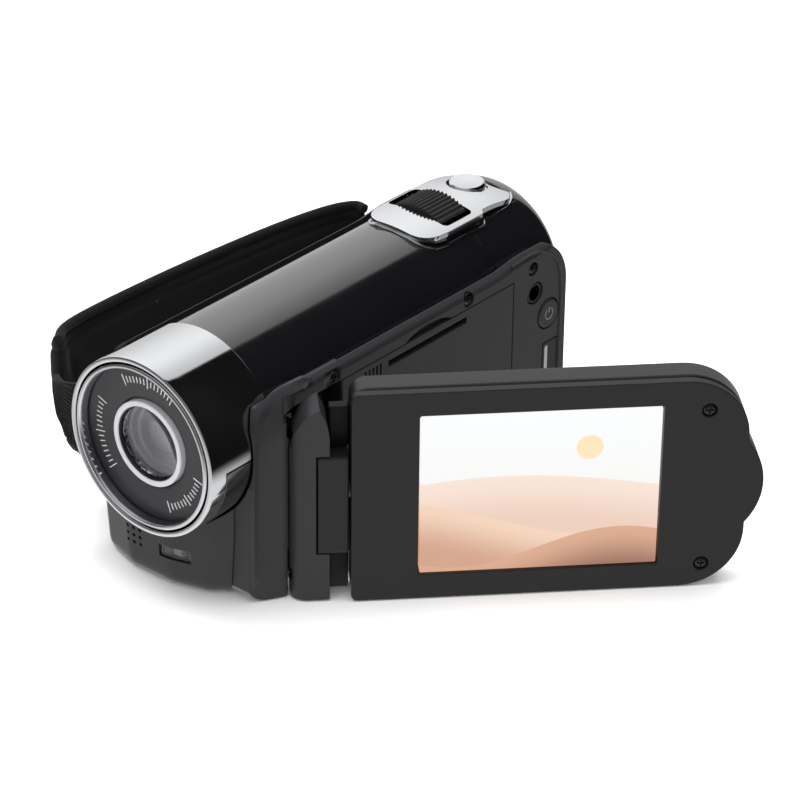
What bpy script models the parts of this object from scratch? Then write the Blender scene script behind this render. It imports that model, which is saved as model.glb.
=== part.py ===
"""A flip-screen camcorder with a hand strap, modelled as an assembly of separate pieces.

Frame: the lens looks along -Y, the screen is on the +X side, Z is up, and the origin is the
middle of the flat base. Lengths below are in millimetres and are scaled by MM when built.
"""
import math

import bmesh
import bpy
from mathutils import Matrix, Vector

MM = 0.001
GAP = 0.3                 # clearance kept between neighbouring pieces
WALL = 1.6                # moulded wall thickness

# Lens barrel, turned about an axis along Y
AXIS_Z = 34.0             # height of the lens axis
COVER_R = 18.8            # gloss barrel cover
SHROUD_R = 19.3           # bright shroud at the front
SHROUD_WALL = 1.3
LENS_Y = -55.0            # front lip of the shroud
RING_BACK_Y = -51.0       # below the axis the shroud is only a ring up to here
SEAM_Y = -36.8            # shroud to barrel cover
CAP_Y = 35.0              # barrel cover to rear cap
REAR_Y = 57.0             # rearmost face
REAR_ROUND = 8.0

# Housing
SIDE_X = 19.7             # flat side planes at +X and -X
HOUSE_FRONT_Y = -43.6
HOUSE_REAR_Y = 54.5
HOUSE_BOTTOM = 0.4
SHOULDER_Z = 44.0         # the side plane stops here and slopes in to the barrel
REAR_RIM_Z = 47.2         # higher rim round the rear corner
BASE_HALF = 11.7          # half width of the bottom cover
CORNER_R = 6.0

# Screen hinge and panel: PANEL_ANGLE is the direction of the panel in plan, from +X
HINGE = (24.1, -33.1)
PANEL_ANGLE = 46.5
PANEL_NEAR = 8.5          # distances along the panel, from the hinge axis
PANEL_FAR = 87.5
TAB_REACH = 3.4
TAB_HALF = 9.3
PANEL_FRONT = -4.5        # distances across the panel, from the hinge axis
PANEL_BACK = 4.0
PANEL_BOTTOM = 0.2
PANEL_TOP = 47.7
SWIVEL_Z = 23.9
BEZEL_THICK = 1.9
SCREEN = (21.9, 70.2, 5.8, 42.4)      # opening: near, far, bottom, top
COLUMN_R = 3.7
COLUMN_TOP = 44.2
BLOCK_Z = (11.4, 33.4)
LUG_Z = ((4.3, 6.7), (35.3, 37.7))    # fixed hinge lugs: lower and upper

# Side face: battery door, card slot, sockets
DOOR = (-17.4, 36.5, 7.0, 40.7)       # y from, y to, z from, z to
SLOT = (-3.4, 21.3, 37.7, 39.2)
JACK_YZ = (43.9, 35.5)
POWER_YZ = (48.6, 28.8)
PORT = (47.2, 51.8, 10.2, 21.8)
SIDE_SCREWS = {"side_screw_front": (-20.3, 42.4), "side_screw_middle": (21.9, 42.8),
               "side_screw_rear": (43.1, 41.6)}

# Top controls
PLATE_TOP = 54.2
LEVER_WINDOW = (-8.1, 8.1, 28.0, 37.0)
LEVER_R = 11.4
LEVER_AXIS_Z = 44.2
SHUTTER_XY = (-1.0, 45.8)

# Rear controls, as (x, z)
RECORD_XZ = (7.0, 35.0)
NAV_XZ = (-4.5, 22.0)
MENU_XZ = (7.5, 22.0)

# Hand strap on the -X side
PAD_Z = (11.5, 43.0)
PAD_THICK = 4.4
WEB_Z = (15.5, 36.5)
WEB_THICK = 1.8

COLOURS = {
    "gloss_black": ((0.012, 0.012, 0.014), 0.12, 0.0),
    "satin_black": ((0.025, 0.025, 0.028), 0.45, 0.0),
    "matte_black": ((0.035, 0.035, 0.038), 0.6, 0.0),
    "chrome": ((0.82, 0.83, 0.85), 0.12, 1.0),
    "steel": ((0.5, 0.5, 0.52), 0.35, 1.0),
    "brass": ((0.7, 0.55, 0.25), 0.35, 1.0),
    "charcoal": ((0.06, 0.062, 0.07), 0.4, 0.0),
    "glass": ((0.2, 0.22, 0.25), 0.05, 0.0),
    "screen": ((0.75, 0.78, 0.8), 0.2, 0.0),
    "board": ((0.02, 0.16, 0.07), 0.5, 0.0),
    "fabric": ((0.02, 0.02, 0.02), 0.9, 0.0),
    "label": ((0.25, 0.27, 0.3), 0.5, 0.0),
    "red": ((0.6, 0.03, 0.03), 0.4, 0.0),
}


# ---------------------------------------------------------------- helpers
def clear_scene():
    """Remove every object, so that the model starts empty."""
    for thing in list(bpy.data.objects):
        bpy.data.objects.remove(thing, do_unlink=True)


def make_collection(name):
    """Return a new collection linked to the scene."""
    group = bpy.data.collections.new(name)
    bpy.context.scene.collection.children.link(group)
    return group


def material(name):
    """Return the named Principled material, made once."""
    if name in bpy.data.materials:
        return bpy.data.materials[name]
    colour, roughness, metallic = COLOURS[name]
    mat = bpy.data.materials.new(name)
    mat.use_nodes = True
    shader = mat.node_tree.nodes["Principled BSDF"]
    shader.inputs["Base Color"].default_value = (*colour, 1.0)
    shader.inputs["Roughness"].default_value = roughness
    shader.inputs["Metallic"].default_value = metallic
    return mat


def place(mesh, name, look, parent=None):
    """Wrap a mesh in an object: a part with its material, or a cutter when look is None."""
    obj = bpy.data.objects.new(name, mesh)
    if look is None:
        CUTTERS.objects.link(obj)
        obj.hide_render = True
        obj.display_type = "WIRE"
    else:
        PARTS.objects.link(obj)
        mesh.materials.append(material(look))
    if parent is not None:
        obj.parent = parent
    return obj


def finish_mesh(bm, name, smooth=40):
    """Turn a bmesh in millimetres into a mesh in metres with faces pointing out."""
    bmesh.ops.recalc_face_normals(bm, faces=bm.faces)
    bmesh.ops.scale(bm, vec=(MM, MM, MM), verts=bm.verts)
    mesh = bpy.data.meshes.new(name)
    bm.to_mesh(mesh)
    bm.free()
    mesh.shade_smooth()
    mesh.set_sharp_from_angle(angle=math.radians(smooth))
    return mesh


def box(name, look, low, high, parent=None, bevel=0.0):
    """A box between two corners, with rounded edges if bevel is given."""
    size = [b - a for a, b in zip(low, high)]
    middle = [(a + b) / 2 for a, b in zip(low, high)]
    bm = bmesh.new()
    bmesh.ops.create_cube(bm, size=1.0)
    bmesh.ops.scale(bm, vec=size, verts=bm.verts)
    bmesh.ops.translate(bm, vec=middle, verts=bm.verts)
    obj = place(finish_mesh(bm, name), name, look, parent)
    if bevel:
        round_edges(obj, bevel)
    return obj


def turn_to(axis):
    """Rotation that takes +Z to the named axis, keeping the turn simple."""
    turns = {"X": Matrix.Rotation(math.pi / 2, 4, "Y"), "-X": Matrix.Rotation(-math.pi / 2, 4, "Y"),
             "Y": Matrix.Rotation(-math.pi / 2, 4, "X"), "-Y": Matrix.Rotation(math.pi / 2, 4, "X"),
             "Z": Matrix.Identity(4), "-Z": Matrix.Rotation(math.pi, 4, "X")}
    return turns[axis]


def cylinder(name, look, start, axis, radius, length, sides=24, parent=None):
    """A cylinder of the given length from its start point along an axis."""
    bm = bmesh.new()
    move = Matrix.Translation(start) @ turn_to(axis) @ Matrix.Translation((0, 0, length / 2))
    bmesh.ops.create_cone(bm, cap_ends=True, segments=sides, radius1=radius, radius2=radius,
                          depth=length, matrix=move)
    return place(finish_mesh(bm, name), name, look, parent)


def turned(name, look, start, axis, profile, steps=32, parent=None):
    """Turn a closed (radius, height) profile about an axis through start.

    The profile runs down its outer side, so that the faces point out.
    """
    closed = min(radius for radius, _ in profile) > 0
    bm = bmesh.new()
    verts = [bm.verts.new((radius, 0, height)) for radius, height in profile]
    pairs = list(zip(verts, verts[1:]))
    if closed:
        pairs.append((verts[-1], verts[0]))
    for a, b in pairs:
        bm.edges.new((a, b))
    bmesh.ops.scale(bm, vec=(MM, MM, MM), verts=bm.verts)
    mesh = bpy.data.meshes.new(name)
    bm.to_mesh(mesh)
    bm.free()
    obj = place(mesh, name, look, parent)
    obj.matrix_local = Matrix.Translation(Vector(start) * MM) @ turn_to(axis)
    screw = obj.modifiers.new("turn", "SCREW")
    screw.steps = steps
    screw.render_steps = steps
    screw.use_merge_vertices = True
    screw.merge_threshold = 0.000001
    screw.use_smooth_shade = True
    return obj


def rounded(corners, steps=5):
    """Points of a closed outline whose corners (u, v, radius) are rounded with arcs."""
    points = []
    count = len(corners)
    for i, (u, v, radius) in enumerate(corners):
        here = Vector((u, v))
        if radius <= 0:
            points.append(here)
            continue
        before = (Vector(corners[i - 1][:2]) - here).normalized()
        after = (Vector(corners[(i + 1) % count][:2]) - here).normalized()
        half = before.angle(after) / 2
        reach = radius / math.tan(half)
        centre = here + (before + after).normalized() * (radius / math.sin(half))
        first = here + before * reach - centre
        last = here + after * reach - centre
        sweep = first.angle_signed(last)
        for k in range(steps + 1):
            turn = Matrix.Rotation(-sweep * k / steps, 2)
            points.append(centre + turn @ first)
    return points


PLANES = {  # outline u, v and thickness direction
    "XY": Matrix.Identity(4),
    "YZ": Matrix(((0, 0, 1, 0), (1, 0, 0, 0), (0, 1, 0, 0), (0, 0, 0, 1))),
    "XZ": Matrix(((1, 0, 0, 0), (0, 0, -1, 0), (0, 1, 0, 0), (0, 0, 0, 1))),
}


def slab(name, look, plane, points, start, stop, parent=None, holes=()):
    """A flat outline given thickness from start to stop, measured across its plane."""
    curve = bpy.data.curves.new(name, "CURVE")
    curve.dimensions = "2D"
    curve.fill_mode = "BOTH"
    curve.extrude = abs(stop - start) / 2 * MM
    for outline in (points, *holes):
        spline = curve.splines.new("POLY")
        spline.points.add(len(outline) - 1)
        for point, (u, v) in zip(spline.points, outline):
            point.co = (u * MM, v * MM, 0, 1)
        spline.use_cyclic_u = True
    flat = bpy.data.objects.new(name + "_outline", curve)
    CUTTERS.objects.link(flat)
    middle = (start + stop) / 2
    sign = -1 if plane == "XZ" else 1
    flat.matrix_world = PLANES[plane] @ Matrix.Translation((0, 0, sign * middle * MM))
    bpy.context.view_layer.update()
    mesh = bpy.data.meshes.new_from_object(flat.evaluated_get(bpy.context.evaluated_depsgraph_get()))
    mesh.transform(flat.matrix_world)
    bpy.data.objects.remove(flat, do_unlink=True)
    bm = bmesh.new()
    bm.from_mesh(mesh)
    bmesh.ops.remove_doubles(bm, verts=bm.verts, dist=0.000005)
    bmesh.ops.dissolve_limit(bm, angle_limit=math.radians(0.5), verts=bm.verts, edges=bm.edges)
    bmesh.ops.recalc_face_normals(bm, faces=bm.faces)
    bm.to_mesh(mesh)
    bm.free()
    mesh.shade_smooth()
    mesh.set_sharp_from_angle(angle=math.radians(35))
    return place(mesh, name, look, parent)


def round_edges(obj, width, segments=2, angle=50):
    """Round the sharp edges of a piece."""
    bevel = obj.modifiers.new("round", "BEVEL")
    bevel.width = width * MM
    bevel.segments = segments
    bevel.limit_method = "ANGLE"
    bevel.angle_limit = math.radians(angle)


def combine(obj, other, operation):
    """Cut, join or intersect a piece with a helper object."""
    step = obj.modifiers.new(operation.lower(), "BOOLEAN")
    step.operation = operation
    step.object = other
    step.solver = "EXACT"


def cut(obj, *others):
    """Cut helpers away from a piece."""
    for other in others:
        combine(obj, other, "DIFFERENCE")


def join(obj, *others):
    """Join helpers to a piece."""
    for other in others:
        combine(obj, other, "UNION")


def rectangle(low_u, high_u, low_v, high_v, radius=0.0):
    """Corner list of a rectangle, for rounded()."""
    return [(low_u, low_v, radius), (high_u, low_v, radius), (high_u, high_v, radius),
            (low_u, high_v, radius)]


def tube_profile(outer, inner, low, high):
    """Closed profile of a plain ring."""
    return [(inner, high), (outer, high), (outer, low), (inner, low)]


def bezier(start, control, end, steps):
    """Points of a quadratic curve, both ends included."""
    points = []
    for k in range(steps + 1):
        t = k / steps
        points.append(tuple(a * (1 - t) ** 2 + 2 * b * t * (1 - t) + c * t ** 2
                            for a, b, c in zip(start, control, end)))
    return points


def smooth_path(route, steps):
    """Catmull-Rom curve through a hand-chosen route."""
    route = [Vector(p) for p in route]
    ends = [2 * route[0] - route[1], *route, 2 * route[-1] - route[-2]]
    points = []
    for a, b, c, d in zip(ends, ends[1:], ends[2:], ends[3:]):
        for k in range(steps):
            t = k / steps
            points.append(0.5 * (2 * b + (c - a) * t + (2 * a - 5 * b + 4 * c - d) * t ** 2
                                 + (3 * b - a - 3 * c + d) * t ** 3))
    points.append(route[-1])
    return points


def band(route, thick, steps=3):
    """Outline of a band of even thickness along a route."""
    path = smooth_path(route, steps)
    left, right = [], []
    for i, here in enumerate(path):
        along = (path[min(i + 1, len(path) - 1)] - path[max(i - 1, 0)]).normalized()
        side = Vector((-along.y, along.x)) * thick / 2
        left.append(here + side)
        right.append(here - side)
    return left + right[::-1]


def coil(name, look, centre, axis, radius, wire, height, turns, per_turn=8):
    """A helical spring as a bevelled poly curve, turned into a mesh."""
    curve = bpy.data.curves.new(name, "CURVE")
    curve.dimensions = "3D"
    curve.bevel_depth = wire * MM
    curve.bevel_resolution = 0
    curve.use_fill_caps = True
    spline = curve.splines.new("POLY")
    count = int(turns * per_turn)
    spline.points.add(count)
    for i in range(count + 1):
        angle = 2 * math.pi * i / per_turn
        rise = height * i / count
        local = Vector((radius * math.cos(angle), radius * math.sin(angle), rise))
        spot = (Vector(centre) + turn_to(axis).to_3x3() @ local) * MM
        spline.points[i].co = (*spot, 1)
    wire_obj = bpy.data.objects.new(name + "_wire", curve)
    CUTTERS.objects.link(wire_obj)
    bpy.context.view_layer.update()
    depsgraph = bpy.context.evaluated_depsgraph_get()
    mesh = bpy.data.meshes.new_from_object(wire_obj.evaluated_get(depsgraph))
    bpy.data.objects.remove(wire_obj, do_unlink=True)
    bm = bmesh.new()
    bm.from_mesh(mesh)
    bmesh.ops.remove_doubles(bm, verts=bm.verts, dist=0.000002)
    bmesh.ops.recalc_face_normals(bm, faces=bm.faces)
    bm.to_mesh(mesh)
    bm.free()
    return place(mesh, name, look)


def barrel_cutter(name, radius, start, stop, sides=64):
    """A cylinder about the lens axis, for clearing the barrel."""
    return cylinder(name, None, (0, start, AXIS_Z), "Y", radius, stop - start, sides)


# ---------------------------------------------------------------- lens group
def build_lens():
    """Shroud, rings, face plate, glass, holder and sensor along the lens axis."""
    axis = (0, 0, AXIS_Z)
    inner = SHROUD_R - SHROUD_WALL
    lip = [(inner, -(LENS_Y + 0.5)), (inner + 0.45, -LENS_Y), (SHROUD_R - 0.45, -LENS_Y),
           (SHROUD_R, -(LENS_Y + 0.6)), (SHROUD_R, -SEAM_Y), (inner, -SEAM_Y)]
    shroud = turned("lens_shroud", "chrome", axis, "-Y", lip, 56)
    cut(shroud, box("shroud_lower", None, (-25, RING_BACK_Y, 0), (25, SEAM_Y + 1, AXIS_Z)))

    collar_front = RING_BACK_Y + GAP
    collar = turned("front_collar", "gloss_black", axis, "-Y",
                    tube_profile(SHROUD_R, inner, -(SEAM_Y - GAP), -collar_front), 56)
    cut(collar, box("collar_upper", None, (-25, RING_BACK_Y - 2, AXIS_Z - GAP),
                    (25, SEAM_Y + 3, AXIS_Z + 25)))

    turned("lens_trim_ring", "chrome", axis, "-Y",
           [(16.7, 54.9), (17.0, 55.2), (17.4, 55.2), (inner - GAP, 54.8), (inner - GAP, 53.0),
            (16.7, 53.0)], 40)
    turned("lens_face_plate", "charcoal", axis, "-Y", tube_profile(inner - GAP, 9.4, 51.1, 52.6), 32)
    turned("lens_inner_ring", "chrome", axis, "-Y",
           [(7.9, 53.0), (8.2, 53.4), (8.8, 53.4), (9.1, 53.0), (9.1, 50.9), (7.9, 50.9)], 28)
    turned("front_lens", "glass", axis, "-Y",
           [(0, 51.8), (3, 51.6), (5.6, 51.0), (7.6, 50.0), (7.6, 48.6), (0, 48.0)], 24)
    turned("rear_lens", "glass", axis, "-Y",
           [(0, 36.0), (4, 35.6), (7.5, 34.6), (7.5, 33.6), (4, 32.8), (0, 32.5)], 16)
    turned("lens_holder", "matte_black", axis, "-Y",
           [(7.9, 50.3), (15.6, 50.3), (15.6, 48.8), (11.2, 47.4), (11.2, 20.3), (7.9, 20.3)], 24)
    box("image_sensor", "charcoal", (-4.5, -19.9, AXIS_Z - 4), (4.5, -18.3, AXIS_Z + 4))
    box("sensor_board", "board", (-11, -18.0, AXIS_Z - 10), (11, -16.8, AXIS_Z + 10))


# ---------------------------------------------------------------- housing
def side_section(top_z, shoulder, inset=0.0):
    """Corners (x, z, radius) of one half of the housing's cross-section."""
    x = SIDE_X - inset
    inner_x = BASE_HALF + GAP if inset == 0 else -1.0
    return [(inner_x, HOUSE_BOTTOM + inset, 0), (x, HOUSE_BOTTOM + inset, CORNER_R - inset),
            (x, top_z - shoulder - inset, 1.5), (x - 1.6 * shoulder, top_z - inset, 0),
            (inner_x, top_z - inset, 0)]


def housing_solid(name, look):
    """The +X half of the housing as one solid: front stretch and higher rear stretch."""
    front = slab(name, look, "XZ", rounded(side_section(46.8, 46.8 - SHOULDER_Z)),
                 HOUSE_FRONT_Y, CAP_Y + 1)
    rear = slab(name + "_rear", None, "XZ", rounded(side_section(REAR_RIM_Z, 1.2)),
                CAP_Y + 0.4, HOUSE_REAR_Y)
    join(front, rear)
    return front


def round_profile(name):
    """Side-view outline of the housing, which rounds its front top and rear corners."""
    corners = [(HOUSE_FRONT_Y, HOUSE_BOTTOM - 0.1, 3.0), (HOUSE_REAR_Y, HOUSE_BOTTOM - 0.1, 4.0),
               (HOUSE_REAR_Y, REAR_RIM_Z + 0.1, 9.0), (CAP_Y - 1, REAR_RIM_Z + 0.1, 0),
               (HOUSE_FRONT_Y, REAR_RIM_Z + 0.1, 9.5)]
    return slab(name, None, "YZ", rounded(corners, 6), -30, 30)


def hollow(name):
    """Inside of the +X half, open to the rear and to the middle."""
    inset = WALL
    corners = [(-1, HOUSE_BOTTOM + inset, 0), (SIDE_X - inset, HOUSE_BOTTOM + inset, CORNER_R - inset),
               (SIDE_X - inset, REAR_RIM_Z + 3, 0), (-1, REAR_RIM_Z + 3, 0)]
    return slab(name, None, "XZ", rounded(corners), HOUSE_FRONT_Y + inset, HOUSE_REAR_Y + 2)


def build_right_shell():
    """The screen-side shell with hinge fairing, pocket, battery bay and socket openings."""
    shell = housing_solid("body_right_shell", "satin_black")
    hx, hy = HINGE
    fairing = [(12.5, HOUSE_FRONT_Y - 0.2, 0), (18.4, HOUSE_FRONT_Y - 0.2, 1.0), (22.3, hy - 5.1, 0.6),
               (22.3, hy - 2.6, 0), (18.5, hy - 1.5, 0), (12.5, hy - 1.5, 0)]
    join(shell, slab("fairing", None, "XY", rounded(fairing, 3), HOUSE_BOTTOM - 1, 36.5))
    inside = hollow("right_hollow")
    tray_low = (14.6, HOUSE_FRONT_Y + 1.0, 2.0)
    cut(inside, box("pocket_tray", None, tray_low, (30, -16.2, 43.9)))
    cut(shell, inside)
    cut(shell, slab("pocket", None, "YZ", rounded([(hy - 2.9, 2.4, 0.5), (-17.8, 2.4, 0.5),
                                                    (-17.8, 41.0, 0.5), (hy - 2.9, 41.0, 5.0)], 4),
                    SIDE_X - 3.2, SIDE_X + 12))
    cut(shell, cylinder("column_clearance", None, (hx, hy, -2), "Z", COLUMN_R + 0.4, 60, 32))
    combine(shell, round_profile("right_profile"), "INTERSECT")
    cut(shell, barrel_cutter("right_barrel_rear", COVER_R + GAP, -40, 70),
        barrel_cutter("right_barrel_front", SHROUD_R + GAP, -60, SEAM_Y + 0.5))
    y0, y1, z0, z1 = DOOR
    cut(shell, box("door_opening", None, (SIDE_X - 5, y0 - GAP, z0 - GAP), (25, y1 + GAP, z1 + GAP)))
    nail_r = 17.0
    cut(shell, cylinder("nail_notch", None, (SIDE_X - 1.0, 9.1, z1 + 2.0 - nail_r), "X", nail_r, 4, 48))
    cut(shell, cylinder("jack_hole", None, (SIDE_X - 5, *JACK_YZ), "X", 2.6, 10),
        cylinder("power_hole", None, (SIDE_X - 5, *POWER_YZ), "X", 3.6, 10))
    y0, y1, z0, z1 = PORT
    cut(shell, box("port_opening", None, (SIDE_X - 5, y0 - GAP, z0 - GAP), (25, y1 + GAP, z1 + GAP)))
    for name, (y, z) in SIDE_SCREWS.items():
        cut(shell, cylinder(name + "_seat", None, (SIDE_X - 1.0, y, z), "X", 1.6, 4, 16),
            cylinder(name + "_hole", None, (SIDE_X - 5, y, z), "X", 1.0, 8, 12))


def build_left_shell():
    """The strap-side shell: the plain mirror image of the housing half."""
    shell = housing_solid("body_left_shell", "satin_black")
    cut(shell, hollow("left_hollow"))
    combine(shell, round_profile("left_profile"), "INTERSECT")
    cut(shell, barrel_cutter("left_barrel_rear", COVER_R + GAP, -40, 70),
        barrel_cutter("left_barrel_front", SHROUD_R + GAP, -60, SEAM_Y + 0.5))
    grille = [(12 + 3 * k, 20 + 3 * j) for k in range(3) for j in range(2)]
    for k, (y, z) in enumerate(grille):
        cut(shell, cylinder(f"speaker_hole_{k}", None, (SIDE_X - 4, y, z), "X", 0.8, 8, 8))
    mirror_to_left(shell)


def mirror_to_left(shell):
    """Flip a finished +X half to the -X side."""
    bpy.context.view_layer.update()
    depsgraph = bpy.context.evaluated_depsgraph_get()
    mesh = bpy.data.meshes.new_from_object(shell.evaluated_get(depsgraph))
    shell.modifiers.clear()
    bm = bmesh.new()
    bm.from_mesh(mesh)
    bmesh.ops.scale(bm, vec=(-1, 1, 1), verts=bm.verts)
    bmesh.ops.reverse_faces(bm, faces=bm.faces)
    bm.to_mesh(mesh)
    bm.free()
    shell.data = mesh


def dome(grow, start):
    """Profile of the barrel's rounded rear end, made larger by grow, from start back."""
    bend = REAR_ROUND + grow
    arc = [math.radians(90 * k / 6) for k in range(7)]
    ring = [(COVER_R + grow - bend * (1 - math.sin(a)), REAR_Y + grow - bend * (1 - math.cos(a)))
            for a in arc]
    return [(0, REAR_Y + grow), *ring, (COVER_R + grow, start), (0, start)]


def arc_panel(name, look, start, stop, first=30, last=155):
    """A curved panel of the barrel between two angles above the +X side."""
    outer, inner = COVER_R, COVER_R - WALL
    steps = 22
    angles = [math.radians(first + (last - first) * k / steps) for k in range(steps + 1)]
    points = [(outer * math.cos(a), AXIS_Z + outer * math.sin(a)) for a in angles]
    points += [(inner * math.cos(a), AXIS_Z + inner * math.sin(a)) for a in reversed(angles)]
    return slab(name, look, "XZ", points, start, stop)


def build_covers():
    """Barrel cover, rear cap, lower front cover and bottom cover."""
    cover = arc_panel("barrel_cover", "gloss_black", SEAM_Y + GAP, CAP_Y - GAP)
    cut(cover, box("cover_opening", None, (-8.2, 23.0, 40), (8.2, 45, 60)))

    cap = turned("rear_cap", "gloss_black", (0, 0, AXIS_Z), "Y", dome(0.0, CAP_Y), 56)
    cap_x = SIDE_X - WALL - GAP
    join(cap, slab("cap_lower", None, "XZ", rounded(rectangle(-cap_x, cap_x, 2.4, 38.5, 4.0), 3),
                   CAP_Y + 1.0, REAR_Y - 0.6))
    cut(cap, turned("cap_hollow", None, (0, 0, AXIS_Z), "Y", dome(-WALL, CAP_Y - 1), 56),
        slab("cap_lower_hollow", None, "XZ", rounded(rectangle(-cap_x + WALL, cap_x - WALL, 2.4 + WALL,
                                                                 38, 3.0), 3), CAP_Y - 1, REAR_Y - 2.2))
    cut(cap, box("cap_under", None, (-30, CAP_Y - 1, -5), (30, HOUSE_REAR_Y - 1.0, 42)))
    cut(cap, box("cap_opening", None, (-8.2, 20, 40), (8.2, 50.8, 60)))
    for name, (x, z), radius in (("record", RECORD_XZ, 4.6), ("menu", MENU_XZ, 2.6),
                                 ("nav", NAV_XZ, 6.1)):
        cut(cap, cylinder(name + "_hole", None, (x, REAR_Y - 6, z), "Y", radius, 10, 28))
    cut(cap, cylinder("led_hole", None, (-7.0, REAR_Y - 6, 36.0), "Y", 1.3, 10, 12))

    keel = [(-13.0, HOUSE_FRONT_Y - GAP, 0), (-19.4, HOUSE_FRONT_Y - GAP, 0), (-18.8, -47.6, 3.5),
            (-9.0, -50.6, 6.0), (2.0, -50.4, 8.0), (11.0, -47.4, 4.0), (14.6, HOUSE_FRONT_Y - GAP, 0)]
    front = slab("front_lower_cover", "satin_black", "XY", rounded(keel, 4), 0.0, 22.0)
    round_edges(front, 2.4, 3, 60)
    room = [(-17.5, HOUSE_FRONT_Y + 1, 0), (-17.3, -46.4, 2.5), (-9.0, -48.8, 5.0), (1.7, -48.7, 7.0),
            (10.4, -46.0, 3.0), (13.0, HOUSE_FRONT_Y + 1, 0)]
    cut(front, slab("front_room", None, "XY", rounded(room, 4), 1.8, 30.0),
        barrel_cutter("front_cradle", SHROUD_R + GAP, -60, -30))
    for k in range(9):
        x = -7.3 + 1.7 * (k % 3 - 1)
        z = 8.6 + 1.7 * (k // 3 - 1)
        cut(front, cylinder(f"mic_hole_{k}", None, (x, -54, z), "Y", 0.42, 8, 8))
    cut(front, box("lamp_opening", None, (-0.5, -54, 6.5), (6.7, -46, 9.4)))

    bottom = box("bottom_cover", "matte_black", (-BASE_HALF, HOUSE_FRONT_Y, 0),
                 (BASE_HALF, HOUSE_REAR_Y - 2, 2.0))
    cut(bottom, cylinder("tripod_opening", None, (0, 18, -1), "Z", 4.3, 5, 24))
    tripod = turned("tripod_nut", "brass", (0, 18, 0.2), "Z",
                    [(3.1, 7.0), (3.9, 7.0), (3.9, 0.0), (3.1, 0.0)], 24)
    join(tripod, turned("nut_flange", None, (0, 18, 2.3), "Z", tube_profile(6.0, 3.4, 0, 1.5), 24))


# ---------------------------------------------------------------- side and rear fittings
def build_side_fittings():
    """Battery door, power button, jack, port cover and screws on the +X face."""
    y0, y1, z0, z1 = DOOR
    door = box("battery_door", "satin_black", (SIDE_X - 1.4, y0, z0), (SIDE_X, y1, z1))
    sy0, sy1, sz0, sz1 = SLOT
    cut(door, box("card_slot", None, (SIDE_X - 3, sy0, sz0), (SIDE_X + 2, sy1, sz1)))
    for k in range(5):
        y = -10.6 + 1.15 * k
        cut(door, box(f"vent_{k}", None, (SIDE_X - 3, y, 36.6), (SIDE_X + 2, y + 0.45, 39.6)))

    turned("power_button", "satin_black", (SIDE_X, *POWER_YZ), "X",
           [(0, 0.25), (3.0, 0.25), (3.3, 0.0), (3.3, -2.0), (4.3, -2.0), (4.3, -2.8), (0, -2.8)], 20)
    turned("av_jack", "steel", (SIDE_X, *JACK_YZ), "X",
           [(0, -9.0), (1.75, -9.0), (1.75, -0.2), (2.3, -0.2), (2.3, -1.9), (3.0, -1.9),
            (3.0, -10.0), (0, -10.0)], 20)
    y0, y1, z0, z1 = PORT
    box("port_cover", "matte_black", (SIDE_X - 0.8, y0, z0), (SIDE_X, y1, z1))
    socket = box("usb_socket", "steel", (10.5, y0 + 0.4, z0 + 1.5), (SIDE_X - 1.2, y1 - 0.4, z1 - 2.0))
    cut(socket, box("usb_mouth", None, (12.0, y0 + 1.0, z0 + 2.1), (SIDE_X, y1 - 1.0, z1 - 2.6)))
    for name, (y, z) in SIDE_SCREWS.items():
        screw(name, (SIDE_X - 0.1, y, z), "X", 1.3, 2.5)


def screw(name, top, axis, head, length, parent=None):
    """A cross-recess screw whose head's top face is at top."""
    return turned(name, "steel", top, axis,
                  [(0, 0), (head * 0.8, 0), (head, -0.25), (head, -0.6), (0.7, -0.6), (0.7, -length),
                   (0, -length)], 10, parent)


def build_rear_controls():
    """Buttons and lamp in the rear cap, each with a flange behind its hole."""
    face = REAR_Y
    for name, (x, z), radius, look in (("record_button", RECORD_XZ, 4.3, "red"),
                                       ("menu_button", MENU_XZ, 2.3, "satin_black"),
                                       ("nav_pad", NAV_XZ, 5.8, "satin_black")):
        turned(name, look, (x, face, z), "Y",
               [(0, 1.0), (radius - 0.5, 1.0), (radius, 0.5), (radius, -3.4), (radius + 0.8, -3.4),
                (radius + 0.8, -4.4), (0, -4.4)], 18)
    turned("status_lamp", "glass", (-7.0, face, 36.0), "Y",
           [(0, 0.2), (1.0, 0.2), (1.0, -5.0), (0, -5.0)], 12)


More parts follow.
